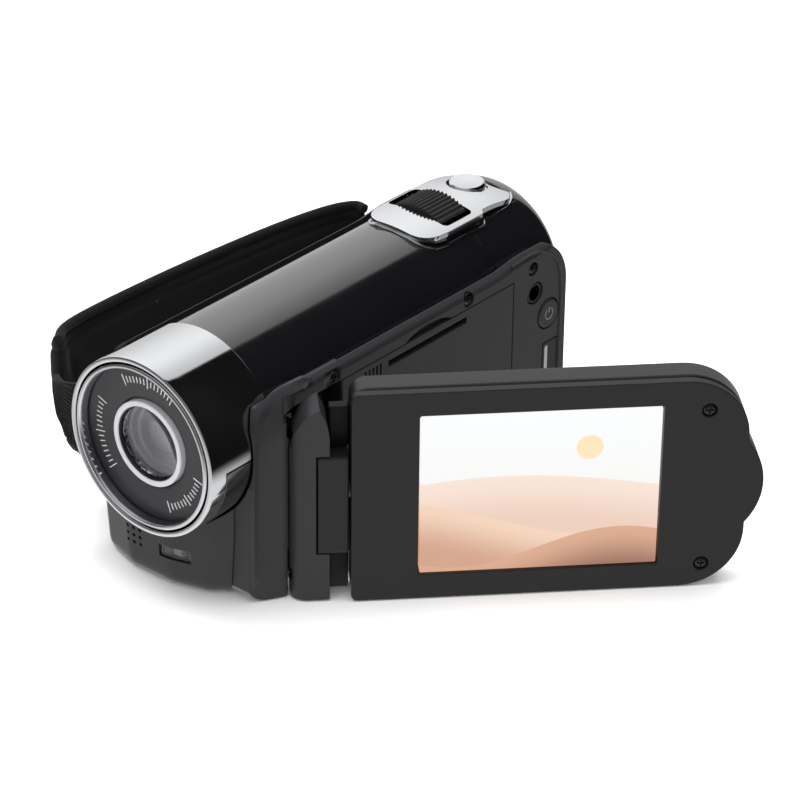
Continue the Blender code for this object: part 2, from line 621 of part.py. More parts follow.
# ---------------------------------------------------------------- top controls
def build_top_controls():
    """Bright control plate, zoom rocker with its axle and springs, and the shutter button."""
    outline = [(-8.6, 20.5, 5.0), (8.6, 20.5, 5.0), (9.6, 27.0, 0.0), (9.6, 38.4, 0.0),
               (8.6, 39.4, 0.0), (8.6, 52.6, 7.5), (-8.6, 52.6, 7.5)]
    plate = slab("control_plate", "chrome", "XY", rounded(outline, 5), 47.0, PLATE_TOP)
    round_edges(plate, 0.9, 2, 60)
    inner = [(-7.4, 21.7, 4.0), (7.4, 21.7, 4.0), (8.4, 27.6, 0.0), (8.4, 37.6, 0.0), (7.4, 38.6, 0.0),
             (7.4, 51.4, 6.4), (-7.4, 51.4, 6.4)]
    cut(plate, slab("plate_hollow", None, "XY", rounded(inner, 4), 45.0, PLATE_TOP - 0.9))
    x0, x1, y0, y1 = LEVER_WINDOW
    cut(plate, box("lever_window", None, (x0, y0, 50), (x1, y1, 60)),
        cylinder("shutter_hole", None, (*SHUTTER_XY, 48), "Z", 4.3, 10, 32))
    cut(plate, turned("plate_seat", None, (0, 0, AXIS_Z), "Y", dome(GAP, 15), 56))

    build_zoom_lever()
    y0 -= 1.6
    cylinder("zoom_shaft", "steel", (0, y0, LEVER_AXIS_Z), "Y", 1.1, 12.2, 16)
    coil("zoom_spring", "steel", (0, 38.4, LEVER_AXIS_Z), "Y", 2.0, 0.3, 2.6, 3)

    frame = box("control_frame", "matte_black", (-6.5, 24.2, 36.6), (6.5, 49.4, 38.0))
    for name, low_y in (("frame_front_post", 24.6), ("frame_rear_post", 41.2)):
        join(frame, box(name, None, (-3.0, low_y, 37.4), (3.0, low_y + 1.6, 46.6)))
    cut(frame, cylinder("axle_seats", None, (0, 20, LEVER_AXIS_Z), "Y", 1.4, 30, 16))

    x, y = SHUTTER_XY
    turned("shutter_button", "chrome", (x, y, PLATE_TOP), "Z",
           [(0, 0.9), (3.3, 0.8), (3.9, 0.3), (3.9, -2.2), (4.6, -2.2), (4.6, -3.2), (1.2, -3.2),
            (1.2, -8.0), (0, -8.0)], 24)
    coil("shutter_spring", "steel", (x, y, 45.0), "Z", 2.2, 0.3, 5.0, 4)


def build_zoom_lever():
    """Rocker turning about an axle along Y: ribbed drum face, web and hub."""
    _, _, y0, y1 = LEVER_WINDOW
    y0 += GAP
    y1 -= GAP
    half = 38
    ribs = 9
    points = []
    for k in range(ribs * 4 + 1):
        angle = math.radians(90 - half + 2 * half * (k + 0.5) / (ribs * 4 + 1))
        radius = LEVER_R + (0.55 if k % 4 in (1, 2) else 0.0)
        points.append((radius * math.cos(angle), LEVER_AXIS_Z + radius * math.sin(angle)))
    for end in (90 + half, 90 + half / 2, 90, 90 - half / 2, 90 - half):
        angle = math.radians(end)
        if end in (90 + half, 90 - half):
            outer = (LEVER_R * math.cos(angle), LEVER_AXIS_Z + LEVER_R * math.sin(angle))
            inner = ((LEVER_R - 1.6) * math.cos(angle), LEVER_AXIS_Z + (LEVER_R - 1.6) * math.sin(angle))
            points += [outer, inner] if end > 90 else [inner, outer]
        else:
            points.append(((LEVER_R - 1.6) * math.cos(angle),
                           LEVER_AXIS_Z + (LEVER_R - 1.6) * math.sin(angle)))
    lever = slab("zoom_lever", "matte_black", "XZ", points, y0, y1)
    join(lever, box("lever_web", None, (-1.6, y0 + 1, LEVER_AXIS_Z), (1.6, y1 - 1, LEVER_AXIS_Z + 10.4)),
         cylinder("lever_hub", None, (0, y0 + 0.5, LEVER_AXIS_Z), "Y", 2.6, y1 - y0 - 1.0, 20))
    cut(lever, cylinder("lever_bore", None, (0, y0 - 2, LEVER_AXIS_Z), "Y", 1.4, 16, 16))


# ---------------------------------------------------------------- inner pieces
def build_inner():
    """Battery, boards, card socket, speaker, lamp and microphone inside the housing."""
    box("battery", "label", (7.0, -15.0, 8.0), (17.6, 35.0, 35.6), bevel=0.8)
    box("battery_contacts", "brass", (9.0, -16.5, 18), (14, -15.3, 30))
    card = box("card_socket", "steel", (-7.5, -5.0, 36.4), (17.7, 23.0, 40.4))
    cut(card, box("card_room", None, (-5.5, -3.4, 37.2), (20, 21.3, 39.6)))
    cut(card, box("card_frame_gap", None, (-8, 22.0, 35), (7.2, 30, 42)))
    box("main_board", "board", (-9.6, -14.0, 6.0), (-8.4, 49.0, 43.0))
    turned("speaker", "matte_black", (-17.6, 13.5, 21.5), "X",
           [(0, 4.0), (4.0, 4.0), (4.0, 2.0), (7.0, 1.2), (7.0, 0.0), (0, 0.0)], 18)
    turned("microphone", "steel", (-7.3, -48.0, 8.6), "Y",
           [(0, 3.0), (2.6, 3.0), (2.6, 0.3), (0, 0.3)], 16)
    box("lamp_window", "glass", (-0.2, -49.7, 6.8), (6.4, -48.5, 9.1))
    box("lamp_led", "screen", (1.9, -48.1, 7.2), (4.3, -46.9, 8.7))


# ---------------------------------------------------------------- screen
def axis_empty(name, spot, turn, parent=None):
    """An empty on a joint axis, turned about Z."""
    empty = bpy.data.objects.new(name, None)
    PARTS.objects.link(empty)
    empty.parent = parent
    empty.location = Vector(spot) * MM
    empty.rotation_euler = (0, 0, math.radians(turn))
    return empty


def panel_outline(inset=0.0):
    """Outline of the screen panel: square near corners, round far corners and a thumb tab."""
    near = PANEL_NEAR + inset
    far = PANEL_FAR - inset
    low = PANEL_BOTTOM + inset
    high = PANEL_TOP - inset
    middle = (PANEL_BOTTOM + PANEL_TOP) / 2
    far_r = 13.0 - inset
    body = rounded([(near, low, 1.5), (far, low, far_r), (far, high, far_r), (near, high, 1.5)], 5)
    if inset > 1.0:
        return body
    radius = (TAB_REACH ** 2 + TAB_HALF ** 2) / (2 * TAB_REACH)
    sweep = math.asin(TAB_HALF / radius)
    arc = [sweep * (k / 4 - 1) for k in range(9)]
    tab = [Vector((far + TAB_REACH - radius * (1 - math.cos(a)), middle + radius * math.sin(a)))
           for a in arc]
    split = next(i for i, point in enumerate(body) if point.y > middle and point.x > far - 1)
    return body[:split] + tab + body[split:]


def build_screen(arm):
    """Hinge column, swivel block and shaft, and the screen panel, all set along the panel."""
    front = PANEL_FRONT
    bezel = slab("lcd_bezel", "satin_black", "XZ", panel_outline(), front, front + BEZEL_THICK, arm)
    near, far, low, high = SCREEN
    cut(bezel, slab("screen_opening", None, "XZ", rounded(rectangle(near, far, low, high, 0.6), 2),
                    front - 2, front + 5, arm))
    back_start = front + BEZEL_THICK + GAP
    back = slab("lcd_back_shell", "gloss_black", "XZ", panel_outline(), back_start, PANEL_BACK, arm)
    chamfer_back(back)
    cut(back, slab("back_room", None, "XZ", panel_outline(1.6), back_start - 2, PANEL_BACK - 1.5, arm),
        cylinder("shaft_hole", None, (PANEL_NEAR - 1, -0.2, SWIVEL_Z), "X", 1.9, 4, 20, arm))
    box("lcd_display", "screen", (near + GAP, front + 0.6, low + GAP), (far - GAP, front + 3.6, high - GAP),
        arm)
    for name, z in (("lcd_screw_upper", 41.0), ("lcd_screw_lower", 5.4)):
        x = 79.2
        screw(name, (x, front + 0.1, z), "-Y", 1.3, 4.0, arm)
        cut(bezel, cylinder(name + "_seat", None, (x, front + 1.0, z), "-Y", 1.6, 3, 16, arm),
            cylinder(name + "_hole", None, (x, front + 5.0, z), "-Y", 1.0, 8, 12, arm))

    build_column(arm)
    z0, z1 = BLOCK_Z
    block = box("swivel_block", "satin_black", (1.9, -3.9, z0), (8.1, 3.4, z1), arm, 0.5)
    cut(block, cylinder("block_bore", None, (0, -0.2, SWIVEL_Z), "X", 1.9, 12, 20, arm))
    turned("swivel_shaft", "steel", (0, -0.2, SWIVEL_Z), "X",
           [(0, 13.0), (2.1, 13.0), (2.1, 11.9), (1.6, 11.9), (1.6, 2.3), (0, 2.3)], 20, arm)


def chamfer_back(shell):
    """Round only the outer back edge of the panel's back shell."""
    bm = bmesh.new()
    bm.from_mesh(shell.data)
    deepest = max(v.co.y for v in bm.verts)
    rim = [e for e in bm.edges if all(abs(v.co.y - deepest) < 1e-6 for v in e.verts)
           and len(e.link_faces) == 2 and e.calc_face_angle(0) > 0.8]
    bmesh.ops.bevel(bm, geom=rim, offset=1.2 * MM, segments=2, affect="EDGES", profile=0.5)
    bm.to_mesh(shell.data)
    bm.free()


def build_column(arm):
    """Turning hinge column with its pointed-arch top, on a fixed pin, lugs and bushes."""
    r = COLUMN_R
    plan = [(-r * math.sin(a), -r * math.cos(a)) for a in [math.radians(180 * k / 10) for k in range(11)]]
    plan = [(4.3, -r), *plan, (4.3, r)]
    column = slab("hinge_column", "satin_black", "XY", plan[::-1], HOUSE_BOTTOM, COLUMN_TOP + 1, arm)
    arch = [(-r - 1, -2), (4.6, -2), (4.6, 34.5), *bezier((4.4, 35.0), (4.0, 41.0), (2.5, COLUMN_TOP), 4),
            *bezier((1.9, COLUMN_TOP - 0.1), (-3.4, 41.5), (-r - 0.1, 31.5), 6), (-r - 1, 31.0)]
    combine(column, slab("column_arch", None, "XZ", arch, -10, 10, arm), "INTERSECT")
    z0, z1 = BLOCK_Z
    cut(column, box("block_notch", None, (1.6, -8, z0 - GAP), (9, 8, z1 + GAP), arm))
    for k, (low, high) in enumerate(LUG_Z):
        cut(column, box(f"lug_notch_{k}", None, (-8, -2.0, low - GAP), (2.0, 8, high + GAP), arm))
    cut(column, cylinder("pin_bore", None, (0, 0, -2), "Z", 1.5, 42, 16, arm))
    hx, hy = HINGE
    for name, start in (("hinge_bush_lower", 7.1), ("hinge_bush_upper", 33.8)):
        cut(column, cylinder(name + "_seat", None, (0, 0, start - 0.1), "Z", 2.5, 1.45, 20, arm))
        turned(name, "brass", (0, 0, start), "Z", tube_profile(2.2, 1.5, 0, 1.2), 20, arm)
    cylinder("hinge_pin", "steel", (hx, hy, 2.2), "Z", 1.2, 37.0, 16)
    bracket = box("hinge_bracket", "steel", (16.8, hy - 2.4, 3.5), (17.9, hy + 2.4, 38.5))
    for low, high in LUG_Z:
        join(bracket, box(f"lug_{low}", None, (17.5, hy - 1.6, low), (hx, hy + 1.6, high)),
             cylinder(f"lug_end_{low}", None, (hx, hy, low + 0.1), "Z", 1.9, high - low - 0.2, 16))
    cut(bracket, cylinder("lug_bore", None, (hx, hy, 0), "Z", 1.5, 45, 16))


# ---------------------------------------------------------------- strap
def build_strap():
    """Padded hand strap, its front webbing and the two lugs on the -X shell."""
    pad_route = [(-31.5, -46.0), (-34.6, -40.5), (-35.2, -28.0), (-34.3, -6.0), (-32.2, 17.0),
                 (-29.6, 32.0), (-26.6, 38.6), (-23.4, 39.0)]
    pad = slab("strap_pad", "fabric", "XY", band(pad_route, PAD_THICK, 2), *PAD_Z)
    round_edges(pad, 1.4, 2, 60)
    web_route = [(-29.9, -48.6), (-27.4, -49.6), (-24.4, -48.4), (-22.4, -44.6), (-22.0, -41.6)]
    slab("strap_webbing", "fabric", "XY", band(web_route, WEB_THICK, 3), *WEB_Z)
    for name, y0, y1 in (("strap_lug_front", -41.2, -36.0), ("strap_lug_rear", 33.6, 38.8)):
        box(name, "steel", (-23.0, y0, 16.0), (-SIDE_X - GAP, y1, 36.0))


clear_scene()
PARTS = make_collection("camcorder")
CUTTERS = make_collection("cutters")
build_lens()
build_right_shell()
build_left_shell()
build_covers()
build_side_fittings()
build_rear_controls()
build_top_controls()
build_inner()
ARM = axis_empty("lcd_arm_axis", (*HINGE, 0), PANEL_ANGLE)
build_screen(ARM)
build_strap()
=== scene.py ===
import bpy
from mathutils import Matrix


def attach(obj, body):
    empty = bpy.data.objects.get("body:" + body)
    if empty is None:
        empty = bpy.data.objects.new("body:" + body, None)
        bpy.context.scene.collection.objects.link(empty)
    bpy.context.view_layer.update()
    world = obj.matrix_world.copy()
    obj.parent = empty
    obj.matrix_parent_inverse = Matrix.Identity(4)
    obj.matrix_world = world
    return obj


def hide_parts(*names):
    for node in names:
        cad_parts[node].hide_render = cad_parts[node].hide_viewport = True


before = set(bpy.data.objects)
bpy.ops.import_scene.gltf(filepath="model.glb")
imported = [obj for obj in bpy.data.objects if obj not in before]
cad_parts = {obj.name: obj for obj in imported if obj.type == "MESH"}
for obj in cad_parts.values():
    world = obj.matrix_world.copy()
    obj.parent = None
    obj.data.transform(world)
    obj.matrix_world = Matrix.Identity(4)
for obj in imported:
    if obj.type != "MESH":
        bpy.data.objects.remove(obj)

"""Finished look of the flip-screen camcorder: detailed shells, glass, strap and finishes.

Sizes in the classes are millimetres; MM turns them into the frame's metres as meshes are made.
"""
import logging
import math
from dataclasses import dataclass, field
from enum import Enum
from typing import Callable, Iterable, Sequence

import bmesh
import bpy
from mathutils import Matrix, Vector

LOG = logging.getLogger("camcorder")
MM = 0.001
Point = tuple[float, float]
Corner = tuple[float, float, float]
Colour = tuple[float, float, float]

AXIS_Z = 34.0
HINGE = (24.1, -33.1)
PANEL_ANGLE = 46.5
IDENTITY = Matrix.Identity(4)
SIDE_X = 19.7
POWER_YZ = (48.6, 28.8)
PORT_YZ = (47.2, 51.8, 10.2, 21.8)
SIDE_SCREWS = {"side_screw_front": (-20.3, 42.4), "side_screw_middle": (21.9, 42.8),
               "side_screw_rear": (43.1, 41.6)}
SCREEN_SCREWS = {"lcd_screw_upper": 41.0, "lcd_screw_lower": 5.4}
SCREEN_SCREW_X = 79.2
BARREL_R = 18.8


class Body(Enum):
    """The moving bodies that pieces ride on."""

    CASE = "root"
    ARM = "lcd_arm"
    PANEL = "lcd_panel"
    ZOOM = "zoom"
    SHUTTER = "shutter"
    PORT = "port"
    POWER = "power"


class Slot(Enum):
    """Material slots of the record."""

    GLOSS = "gloss_black"
    SATIN = "satin_black"
    MATTE = "matte_black"
    CHROME = "chrome"
    STEEL = "steel"
    CHARCOAL = "charcoal"
    GLASS = "lens_glass"
    SCREEN = "screen"
    FABRIC = "fabric"
    LABEL = "label"


class Plane(Enum):
    """The plane an outline is drawn in; it is thickened along the third direction."""

    XY = Matrix.Identity(4)
    YZ = Matrix(((0, 0, 1, 0), (1, 0, 0, 0), (0, 1, 0, 0), (0, 0, 0, 1)))
    XZ = Matrix(((1, 0, 0, 0), (0, 0, -1, 0), (0, 1, 0, 0), (0, 0, 0, 1)))


def about_lens() -> Matrix:
    """Frame whose Z runs out of the lens and whose X is the screen side."""
    return Matrix(((1, 0, 0, 0), (0, 0, -1, 0), (0, 1, 0, AXIS_Z * MM), (0, 0, 0, 1)))


def along_panel() -> Matrix:
    """Frame at the hinge whose X runs along the screen panel and whose -Y is its front."""
    spot = Matrix.Translation(Vector((*HINGE, 0)) * MM)
    return spot @ Matrix.Rotation(math.radians(PANEL_ANGLE), 4, "Z")


def facing(spot: Sequence[float], way: Sequence[float], base: Matrix = IDENTITY) -> Matrix:
    """Frame at a spot whose Z points the given way.

    Args:
        spot: place in millimetres, within base.
        way: direction of the frame's Z, within base.
        base: frame that spot and way are given in.

    Returns:
        The frame as a matrix.
    """
    turn = Vector(way).to_track_quat("Z", "Y").to_matrix().to_4x4()
    return base @ Matrix.Translation(Vector(spot) * MM) @ turn


# ------------------------------------------------------------------ outlines
def rounded(corners: Sequence[Corner], steps: int = 8) -> list[Point]:
    """Round the corners of a closed outline.

    Args:
        corners: (u, v, radius) of each corner in order.
        steps: pieces in each corner's arc.

    Returns:
        The outline's points.
    """
    points: list[Point] = []
    count = len(corners)
    for i, (u, v, radius) in enumerate(corners):
        here = Vector((u, v))
        if radius <= 0:
            points.append((u, v))
            continue
        before = (Vector(corners[i - 1][:2]) - here).normalized()
        after = (Vector(corners[(i + 1) % count][:2]) - here).normalized()
        half = before.angle(after) / 2
        centre = here + (before + after).normalized() * (radius / math.sin(half))
        reach = radius / math.tan(half)
        first = here + before * reach - centre
        sweep = first.angle_signed(here + after * reach - centre)
        for k in range(steps + 1):
            spot = centre + Matrix.Rotation(-sweep * k / steps, 2) @ first
            points.append((spot.x, spot.y))
    return points


def rectangle(u0: float, u1: float, v0: float, v1: float, radius: float) -> list[Corner]:
    """Corners of a rectangle that share one radius."""
    return [(u0, v0, radius), (u1, v0, radius), (u1, v1, radius), (u0, v1, radius)]


def smooth_path(route: Sequence[Sequence[float]], steps: int) -> list[Vector]:
    """Pass a smooth curve through points.

    Args:
        route: points of any dimension.
        steps: pieces between two neighbours.

    Returns:
        Points along the curve.
    """
    spots = [Vector(p) for p in route]
    spots = [2 * spots[0] - spots[1], *spots, 2 * spots[-1] - spots[-2]]
    path = []
    for a, b, c, d in zip(spots, spots[1:], spots[2:], spots[3:]):
        for k in range(steps):
            t = k / steps
            path.append(0.5 * (2 * b + (c - a) * t + (2 * a - 5 * b + 4 * c - d) * t ** 2
                               + (3 * b - a - 3 * c + d) * t ** 3))
    path.append(spots[-2])
    return path


# ------------------------------------------------------------------ mesh work
class Maker:
    """Turns outlines, profiles and paths into finished mesh objects."""

    @staticmethod
    def adopt(name: str, bm: bmesh.types.BMesh, place: Matrix) -> bpy.types.Object:
        """Close off a bmesh as an object.

        Args:
            name: the object's name.
            bm: mesh in metres, freed here.
            place: frame the mesh is drawn in.

        Returns:
            The new object.
        """
        bmesh.ops.remove_doubles(bm, verts=bm.verts, dist=1e-7)
        bmesh.ops.recalc_face_normals(bm, faces=bm.faces)
        mesh = bpy.data.meshes.new(name)
        bm.to_mesh(mesh)
        bm.free()
        obj = bpy.data.objects.new(name, mesh)
        bpy.context.scene.collection.objects.link(obj)
        obj.matrix_world = place
        bpy.context.view_layer.update()
        return obj

    @classmethod
    def prism(cls, name: str, outline: Iterable[Point], low: float, high: float,
              plane: Plane = Plane.XY, place: Matrix = IDENTITY) -> bpy.types.Object:
        """Thicken an outline.

        Args:
            name: the object's name.
            outline: points in the plane.
            low: start along the third direction.
            high: end along the third direction.
            plane: plane of the outline.
            place: frame of the object.

        Returns:
            The solid.
        """
        if plane is Plane.XZ:
            low, high = -high, -low
        bm = bmesh.new()
        rings = [[bm.verts.new(plane.value @ (Vector((u, v, w)) * MM)) for u, v in outline]
                 for w in (low, high)]
        bm.faces.new(rings[0][::-1])
        bm.faces.new(rings[1])
        for i in range(len(rings[0])):
            j = (i + 1) % len(rings[0])
            bm.faces.new((rings[0][i], rings[0][j], rings[1][j], rings[1][i]))
        return cls.adopt(name, bm, place)

    @classmethod
    def lathe(cls, name: str, loop: Sequence[Point], place: Matrix, sides: int = 96,
              start: float = 0.0, sweep: float = 360.0) -> bpy.types.Object:
        """Turn a closed (radius, height) loop about the frame's Z.

        Args:
            name: the object's name.
            loop: the profile, closed from its last point to its first.
            place: frame to turn in.
            sides: steps of a full turn.
            start: first angle in degrees.
            sweep: how far to turn; 360 joins up.

        Returns:
            The turned solid.
        """
        whole = sweep >= 360
        steps = max(2, round(sides * sweep / 360))
        bm = bmesh.new()
        rings = []
        for k in range(steps if whole else steps + 1):
            a = math.radians(start + sweep * k / steps)
            rings.append([bm.verts.new(Vector((r * math.cos(a), r * math.sin(a), h)) * MM)
                          for r, h in loop])
        pairs = list(zip(rings, rings[1:])) + ([(rings[-1], rings[0])] if whole else [])
        for here, after in pairs:
            for i in range(len(loop)):
                j = (i + 1) % len(loop)
                if loop[i][0] > 0 or loop[j][0] > 0:
                    bm.faces.new((here[i], here[j], after[j], after[i]))
        if not whole:
            bm.faces.new(rings[0][::-1])
            bm.faces.new(rings[-1])
        return cls.adopt(name, bm, place)

    @classmethod
    def tube(cls, name: str, paths: Sequence[Sequence[Vector]], radius: float,
             place: Matrix = IDENTITY, sides: int = 10) -> bpy.types.Object:
        """Round rods along one or more open paths.

        Args:
            name: the object's name.
            paths: points of each rod in millimetres.
            radius: the rods' radius.
            place: frame of the object.
            sides: sides of the rods.

        Returns:
            The rods as one object.
        """
        bm = bmesh.new()
        for path in paths:
            rings = []
            for i, here in enumerate(path):
                way = (path[min(i + 1, len(path) - 1)] - path[max(i - 1, 0)]).normalized()
                side = way.cross(Vector((0, 0, 1)) if abs(way.z) < 0.9 else Vector((1, 0, 0)))
                side.normalize()
                up = side.cross(way)
                rings.append([bm.verts.new((here + radius * (
                    side * math.cos(2 * math.pi * k / sides)
                    + up * math.sin(2 * math.pi * k / sides))) * MM) for k in range(sides)])
            for a, b in zip(rings, rings[1:]):
                for k in range(sides):
                    n = (k + 1) % sides
                    bm.faces.new((a[k], a[n], b[n], b[k]))
            bm.faces.new(rings[0][::-1])
            bm.faces.new(rings[-1])
        return cls.adopt(name, bm, place)

    @classmethod
    def loft(cls, name: str, rings: Sequence[Sequence[Vector]],
             turned: bool = False) -> bpy.types.Object:
        """A closed solid through rings of points, which run the other way round when turned."""
        bm = bmesh.new()
        loops = [[bm.verts.new(point * MM) for point in ring] for ring in rings]
        for a, b in zip(loops, loops[1:]):
            for k in range(len(a)):
                n = (k + 1) % len(a)
                bm.faces.new((a[k], b[k], b[n], a[n]) if turned else (a[k], a[n], b[n], b[k]))
        bm.faces.new(loops[0] if turned else loops[0][::-1])
        bm.faces.new(loops[-1][::-1] if turned else loops[-1])
        return cls.adopt(name, bm, IDENTITY)

    @staticmethod
    def settle(obj: bpy.types.Object) -> bpy.types.Object:
        """Make the object's modifiers part of its mesh."""
        bpy.context.view_layer.update()
        graph = bpy.context.evaluated_depsgraph_get()
        mesh = bpy.data.meshes.new_from_object(obj.evaluated_get(graph))
        obj.modifiers.clear()
        obj.data = mesh
        return obj

    @classmethod
    def combine(cls, obj: bpy.types.Object, how: str,
                *tools: bpy.types.Object) -> bpy.types.Object:
        """Work an object with others, which are used up.

        Args:
            obj: the object to work.
            how: DIFFERENCE, UNION or INTERSECT.
            tools: the objects used.

        Returns:
            The worked object.
        """
        for tool in tools:
            step = obj.modifiers.new("work", "BOOLEAN")
            step.object, step.operation, step.solver = tool, how, "EXACT"
            before = len(obj.data.polygons)
            cls.settle(obj)
            bpy.data.objects.remove(tool, do_unlink=True)
            if len(obj.data.polygons) < before * 0.25:
                raise RuntimeError(f"{obj.name} was lost in a {how} cut")
        return obj

    @classmethod
    def soften(cls, obj: bpy.types.Object, width: float, segments: int = 3,
               angle: float = 35.0) -> bpy.types.Object:
        """Round the edges that are sharper than an angle."""
        step = obj.modifiers.new("round", "BEVEL")
        step.width, step.segments = width * MM, segments
        step.limit_method, step.angle_limit = "ANGLE", math.radians(angle)
        step.use_clamp_overlap = True
        return cls.settle(obj)

    @classmethod
    def shade(cls, obj: bpy.types.Object, angle: float = 32.0) -> bpy.types.Object:
        """Shade smoothly across edges flatter than an angle, broad faces leading."""
        obj.data.shade_smooth()
        obj.data.set_sharp_from_angle(angle=math.radians(angle))
        step = obj.modifiers.new("broad", "WEIGHTED_NORMAL")
        step.weight, step.keep_sharp = 90, True
        return cls.settle(obj)


# ------------------------------------------------------------------ shader effects
class Wiring:
    """Places and joins nodes in one node tree."""

    def __init__(self, tree: bpy.types.NodeTree) -> None:
        """Start wiring in a tree."""
        self.tree = tree

    def node(self, kind: str, **settings: object) -> bpy.types.Node:
        """Add a node with its settings."""
        node = self.tree.nodes.new("ShaderNode" + kind)
        for key, value in settings.items():
            setattr(node, key, value)
        return node

    def feed(self, socket: bpy.types.NodeSocket, value: object) -> None:
        """Give a socket a link or a constant."""
        if isinstance(value, bpy.types.NodeSocket):
            self.tree.links.new(value, socket)
        elif value is not None:
            socket.default_value = value

    def maths(self, how: str, a: object, b: object = None,
              c: object = None) -> bpy.types.NodeSocket:
        """A Math node of up to three values."""
        node = self.node("Math", operation=how)
        for socket, value in zip(node.inputs, (a, b, c)):
            self.feed(socket, value)
        return node.outputs[0]

    def blend(self, share: object, a: object, b: object) -> bpy.types.NodeSocket:
        """A colour between a and b."""
        node = self.node("Mix", data_type="RGBA")
        for index, value in ((0, share), (6, a), (7, b)):
            self.feed(node.inputs[index], value)
        return node.outputs[2]

    def noise(self, vector: object, scale: object, detail: float = 3.0) -> bpy.types.NodeSocket:
        """A noise value from 0 to 1."""
        node = self.node("TexNoise")
        self.feed(node.inputs["Vector"], vector)
        self.feed(node.inputs["Scale"], scale)
        node.inputs["Detail"].default_value = detail
        return node.outputs[0]

    def span(self, value: object, low: float, high: float, to_low: object,
             to_high: object) -> bpy.types.NodeSocket:
        """Map low..high smoothly to to_low..to_high."""
        node = self.node("MapRange", interpolation_type="SMOOTHSTEP")
        for index, item in enumerate((value, low, high, to_low, to_high)):
            self.feed(node.inputs[index], item)
        return node.outputs[0]


@dataclass(frozen=True)
class Effect:
    """A shader node group that several finishes share."""

    name: str
    inputs: tuple[tuple[str, str, object], ...]
    outputs: tuple[tuple[str, str], ...]
    wire: Callable[[Wiring, dict, dict], None]

    def tree(self) -> bpy.types.NodeTree:
        """Build the group the first time and hand it out after that."""
        found = bpy.data.node_groups.get(self.name)
        if found:
            return found
        tree = bpy.data.node_groups.new(self.name, "ShaderNodeTree")
        for label, kind, default in self.inputs:
            socket = tree.interface.new_socket(name=label, in_out="INPUT",
                                               socket_type="NodeSocket" + kind)
            if default is not None:
                socket.default_value = default
        for label, kind in self.outputs:
            tree.interface.new_socket(name=label, in_out="OUTPUT",
                                      socket_type="NodeSocket" + kind)
        start = tree.nodes.new("NodeGroupInput")
        end = tree.nodes.new("NodeGroupOutput")
        self.wire(Wiring(tree), start.outputs, end.inputs)
        return tree


def wire_grain(w: Wiring, got: dict, give: dict) -> None:
    """Moulded grain: fine height, with slow drifts of tone and roughness."""
    fine = w.noise(got["Vector"], got["Scale"], 2.0)
    broad = w.noise(got["Vector"], w.maths("MULTIPLY", got["Scale"], 0.03), 4.0)
    shift = w.maths("MULTIPLY", w.maths("SUBTRACT", broad, 0.5), got["Drift"])
    lift = w.maths("ADD", 1.0, w.maths("MULTIPLY", shift, 2.0))
    scale = w.node("VectorMath", operation="SCALE")
    w.feed(scale.inputs[0], got["Colour"])
    w.feed(scale.inputs[3], lift)
    w.feed(give["Colour"], scale.outputs[0])
    w.feed(give["Roughness"], w.maths("ADD", got["Roughness"], shift))
    w.feed(give["Height"], fine)


def wire_wear(w: Wiring, got: dict, give: dict) -> None:
    """Rounded-edge normal, and a broken mask along the edges."""
    bevel = w.node("Bevel", samples=4)
    w.feed(bevel.inputs["Radius"], got["Radius"])
    plain = w.node("NewGeometry")
    dot = w.node("VectorMath", operation="DOT_PRODUCT")
    w.feed(dot.inputs[0], bevel.outputs[0])
    w.feed(dot.inputs[1], plain.outputs["Normal"])
    edge = w.span(dot.outputs["Value"], 0.80, 0.99, 1.0, 0.0)
    patch = w.span(w.noise(got["Vector"], 260.0, 5.0), 0.38, 0.62, 0.25, 1.0)
    w.feed(give["Mask"], w.maths("MULTIPLY", w.maths("MULTIPLY", edge, patch), got["Amount"]))
    w.feed(give["Normal"], bevel.outputs[0])


def wire_specks(w: Wiring, got: dict, give: dict) -> None:
    """Scattered dust specks of uneven size."""
    cells = w.node("TexVoronoi")
    w.feed(cells.inputs["Vector"], got["Vector"])
    w.feed(cells.inputs["Scale"], got["Scale"])
    close = w.span(cells.outputs["Distance"], 0.05, 0.16, 1.0, 0.0)
    some = w.span(w.noise(cells.outputs["Position"], 900.0, 0.0), 0.55, 0.62, 0.0, 1.0)
    w.feed(give["Mask"], w.maths("MULTIPLY", w.maths("MULTIPLY", close, some), got["Amount"]))


def wire_marks(w: Wiring, got: dict, give: dict) -> None:
    """Faint hairlines and finger marks on a polished surface."""
    stretch = w.node("Mapping")
    w.feed(stretch.inputs["Vector"], got["Vector"])
    stretch.inputs["Scale"].default_value = (1.0, 0.05, 1.0)
    lines = w.span(w.noise(stretch.outputs[0], 1800.0, 2.0), 0.62, 0.72, 0.0, 1.0)
    touch = w.span(w.noise(got["Vector"], 60.0, 4.0), 0.45, 0.70, 0.0, 1.0)
    extra = w.maths("MULTIPLY", w.maths("ADD", w.maths("MULTIPLY", lines, 0.5), touch),
                    got["Amount"])
    w.feed(give["Roughness"], w.maths("ADD", got["Roughness"], extra))


def wire_weave(w: Wiring, got: dict, give: dict) -> None:
    """Crossing yarns with a fuzz of finer fibres, the low parts of the weave painted darker as
    painted shade.
    """
    waves = []
    for way in ("X", "Z"):
        wave = w.node("TexWave", bands_direction=way)
        w.feed(wave.inputs["Vector"], got["Vector"])
        w.feed(wave.inputs["Scale"], got["Scale"])
        wave.inputs["Distortion"].default_value = 0.6
        waves.append(wave.outputs["Fac"])
    yarn = w.maths("MAXIMUM", *waves)
    fibre = w.noise(got["Vector"], w.maths("MULTIPLY", got["Scale"], 7.0), 4.0)
    high = w.maths("ADD", w.maths("MULTIPLY", yarn, 0.7), w.maths("MULTIPLY", fibre, 0.5))
    w.feed(give["Height"], high)
    # Colour runs from the darker shade colour in the weave's hollows to the yarn colour on its
    # tops: painted shade in the hollows.
    w.feed(give["Colour"], w.blend(high, got["Shade"], got["Colour"]))


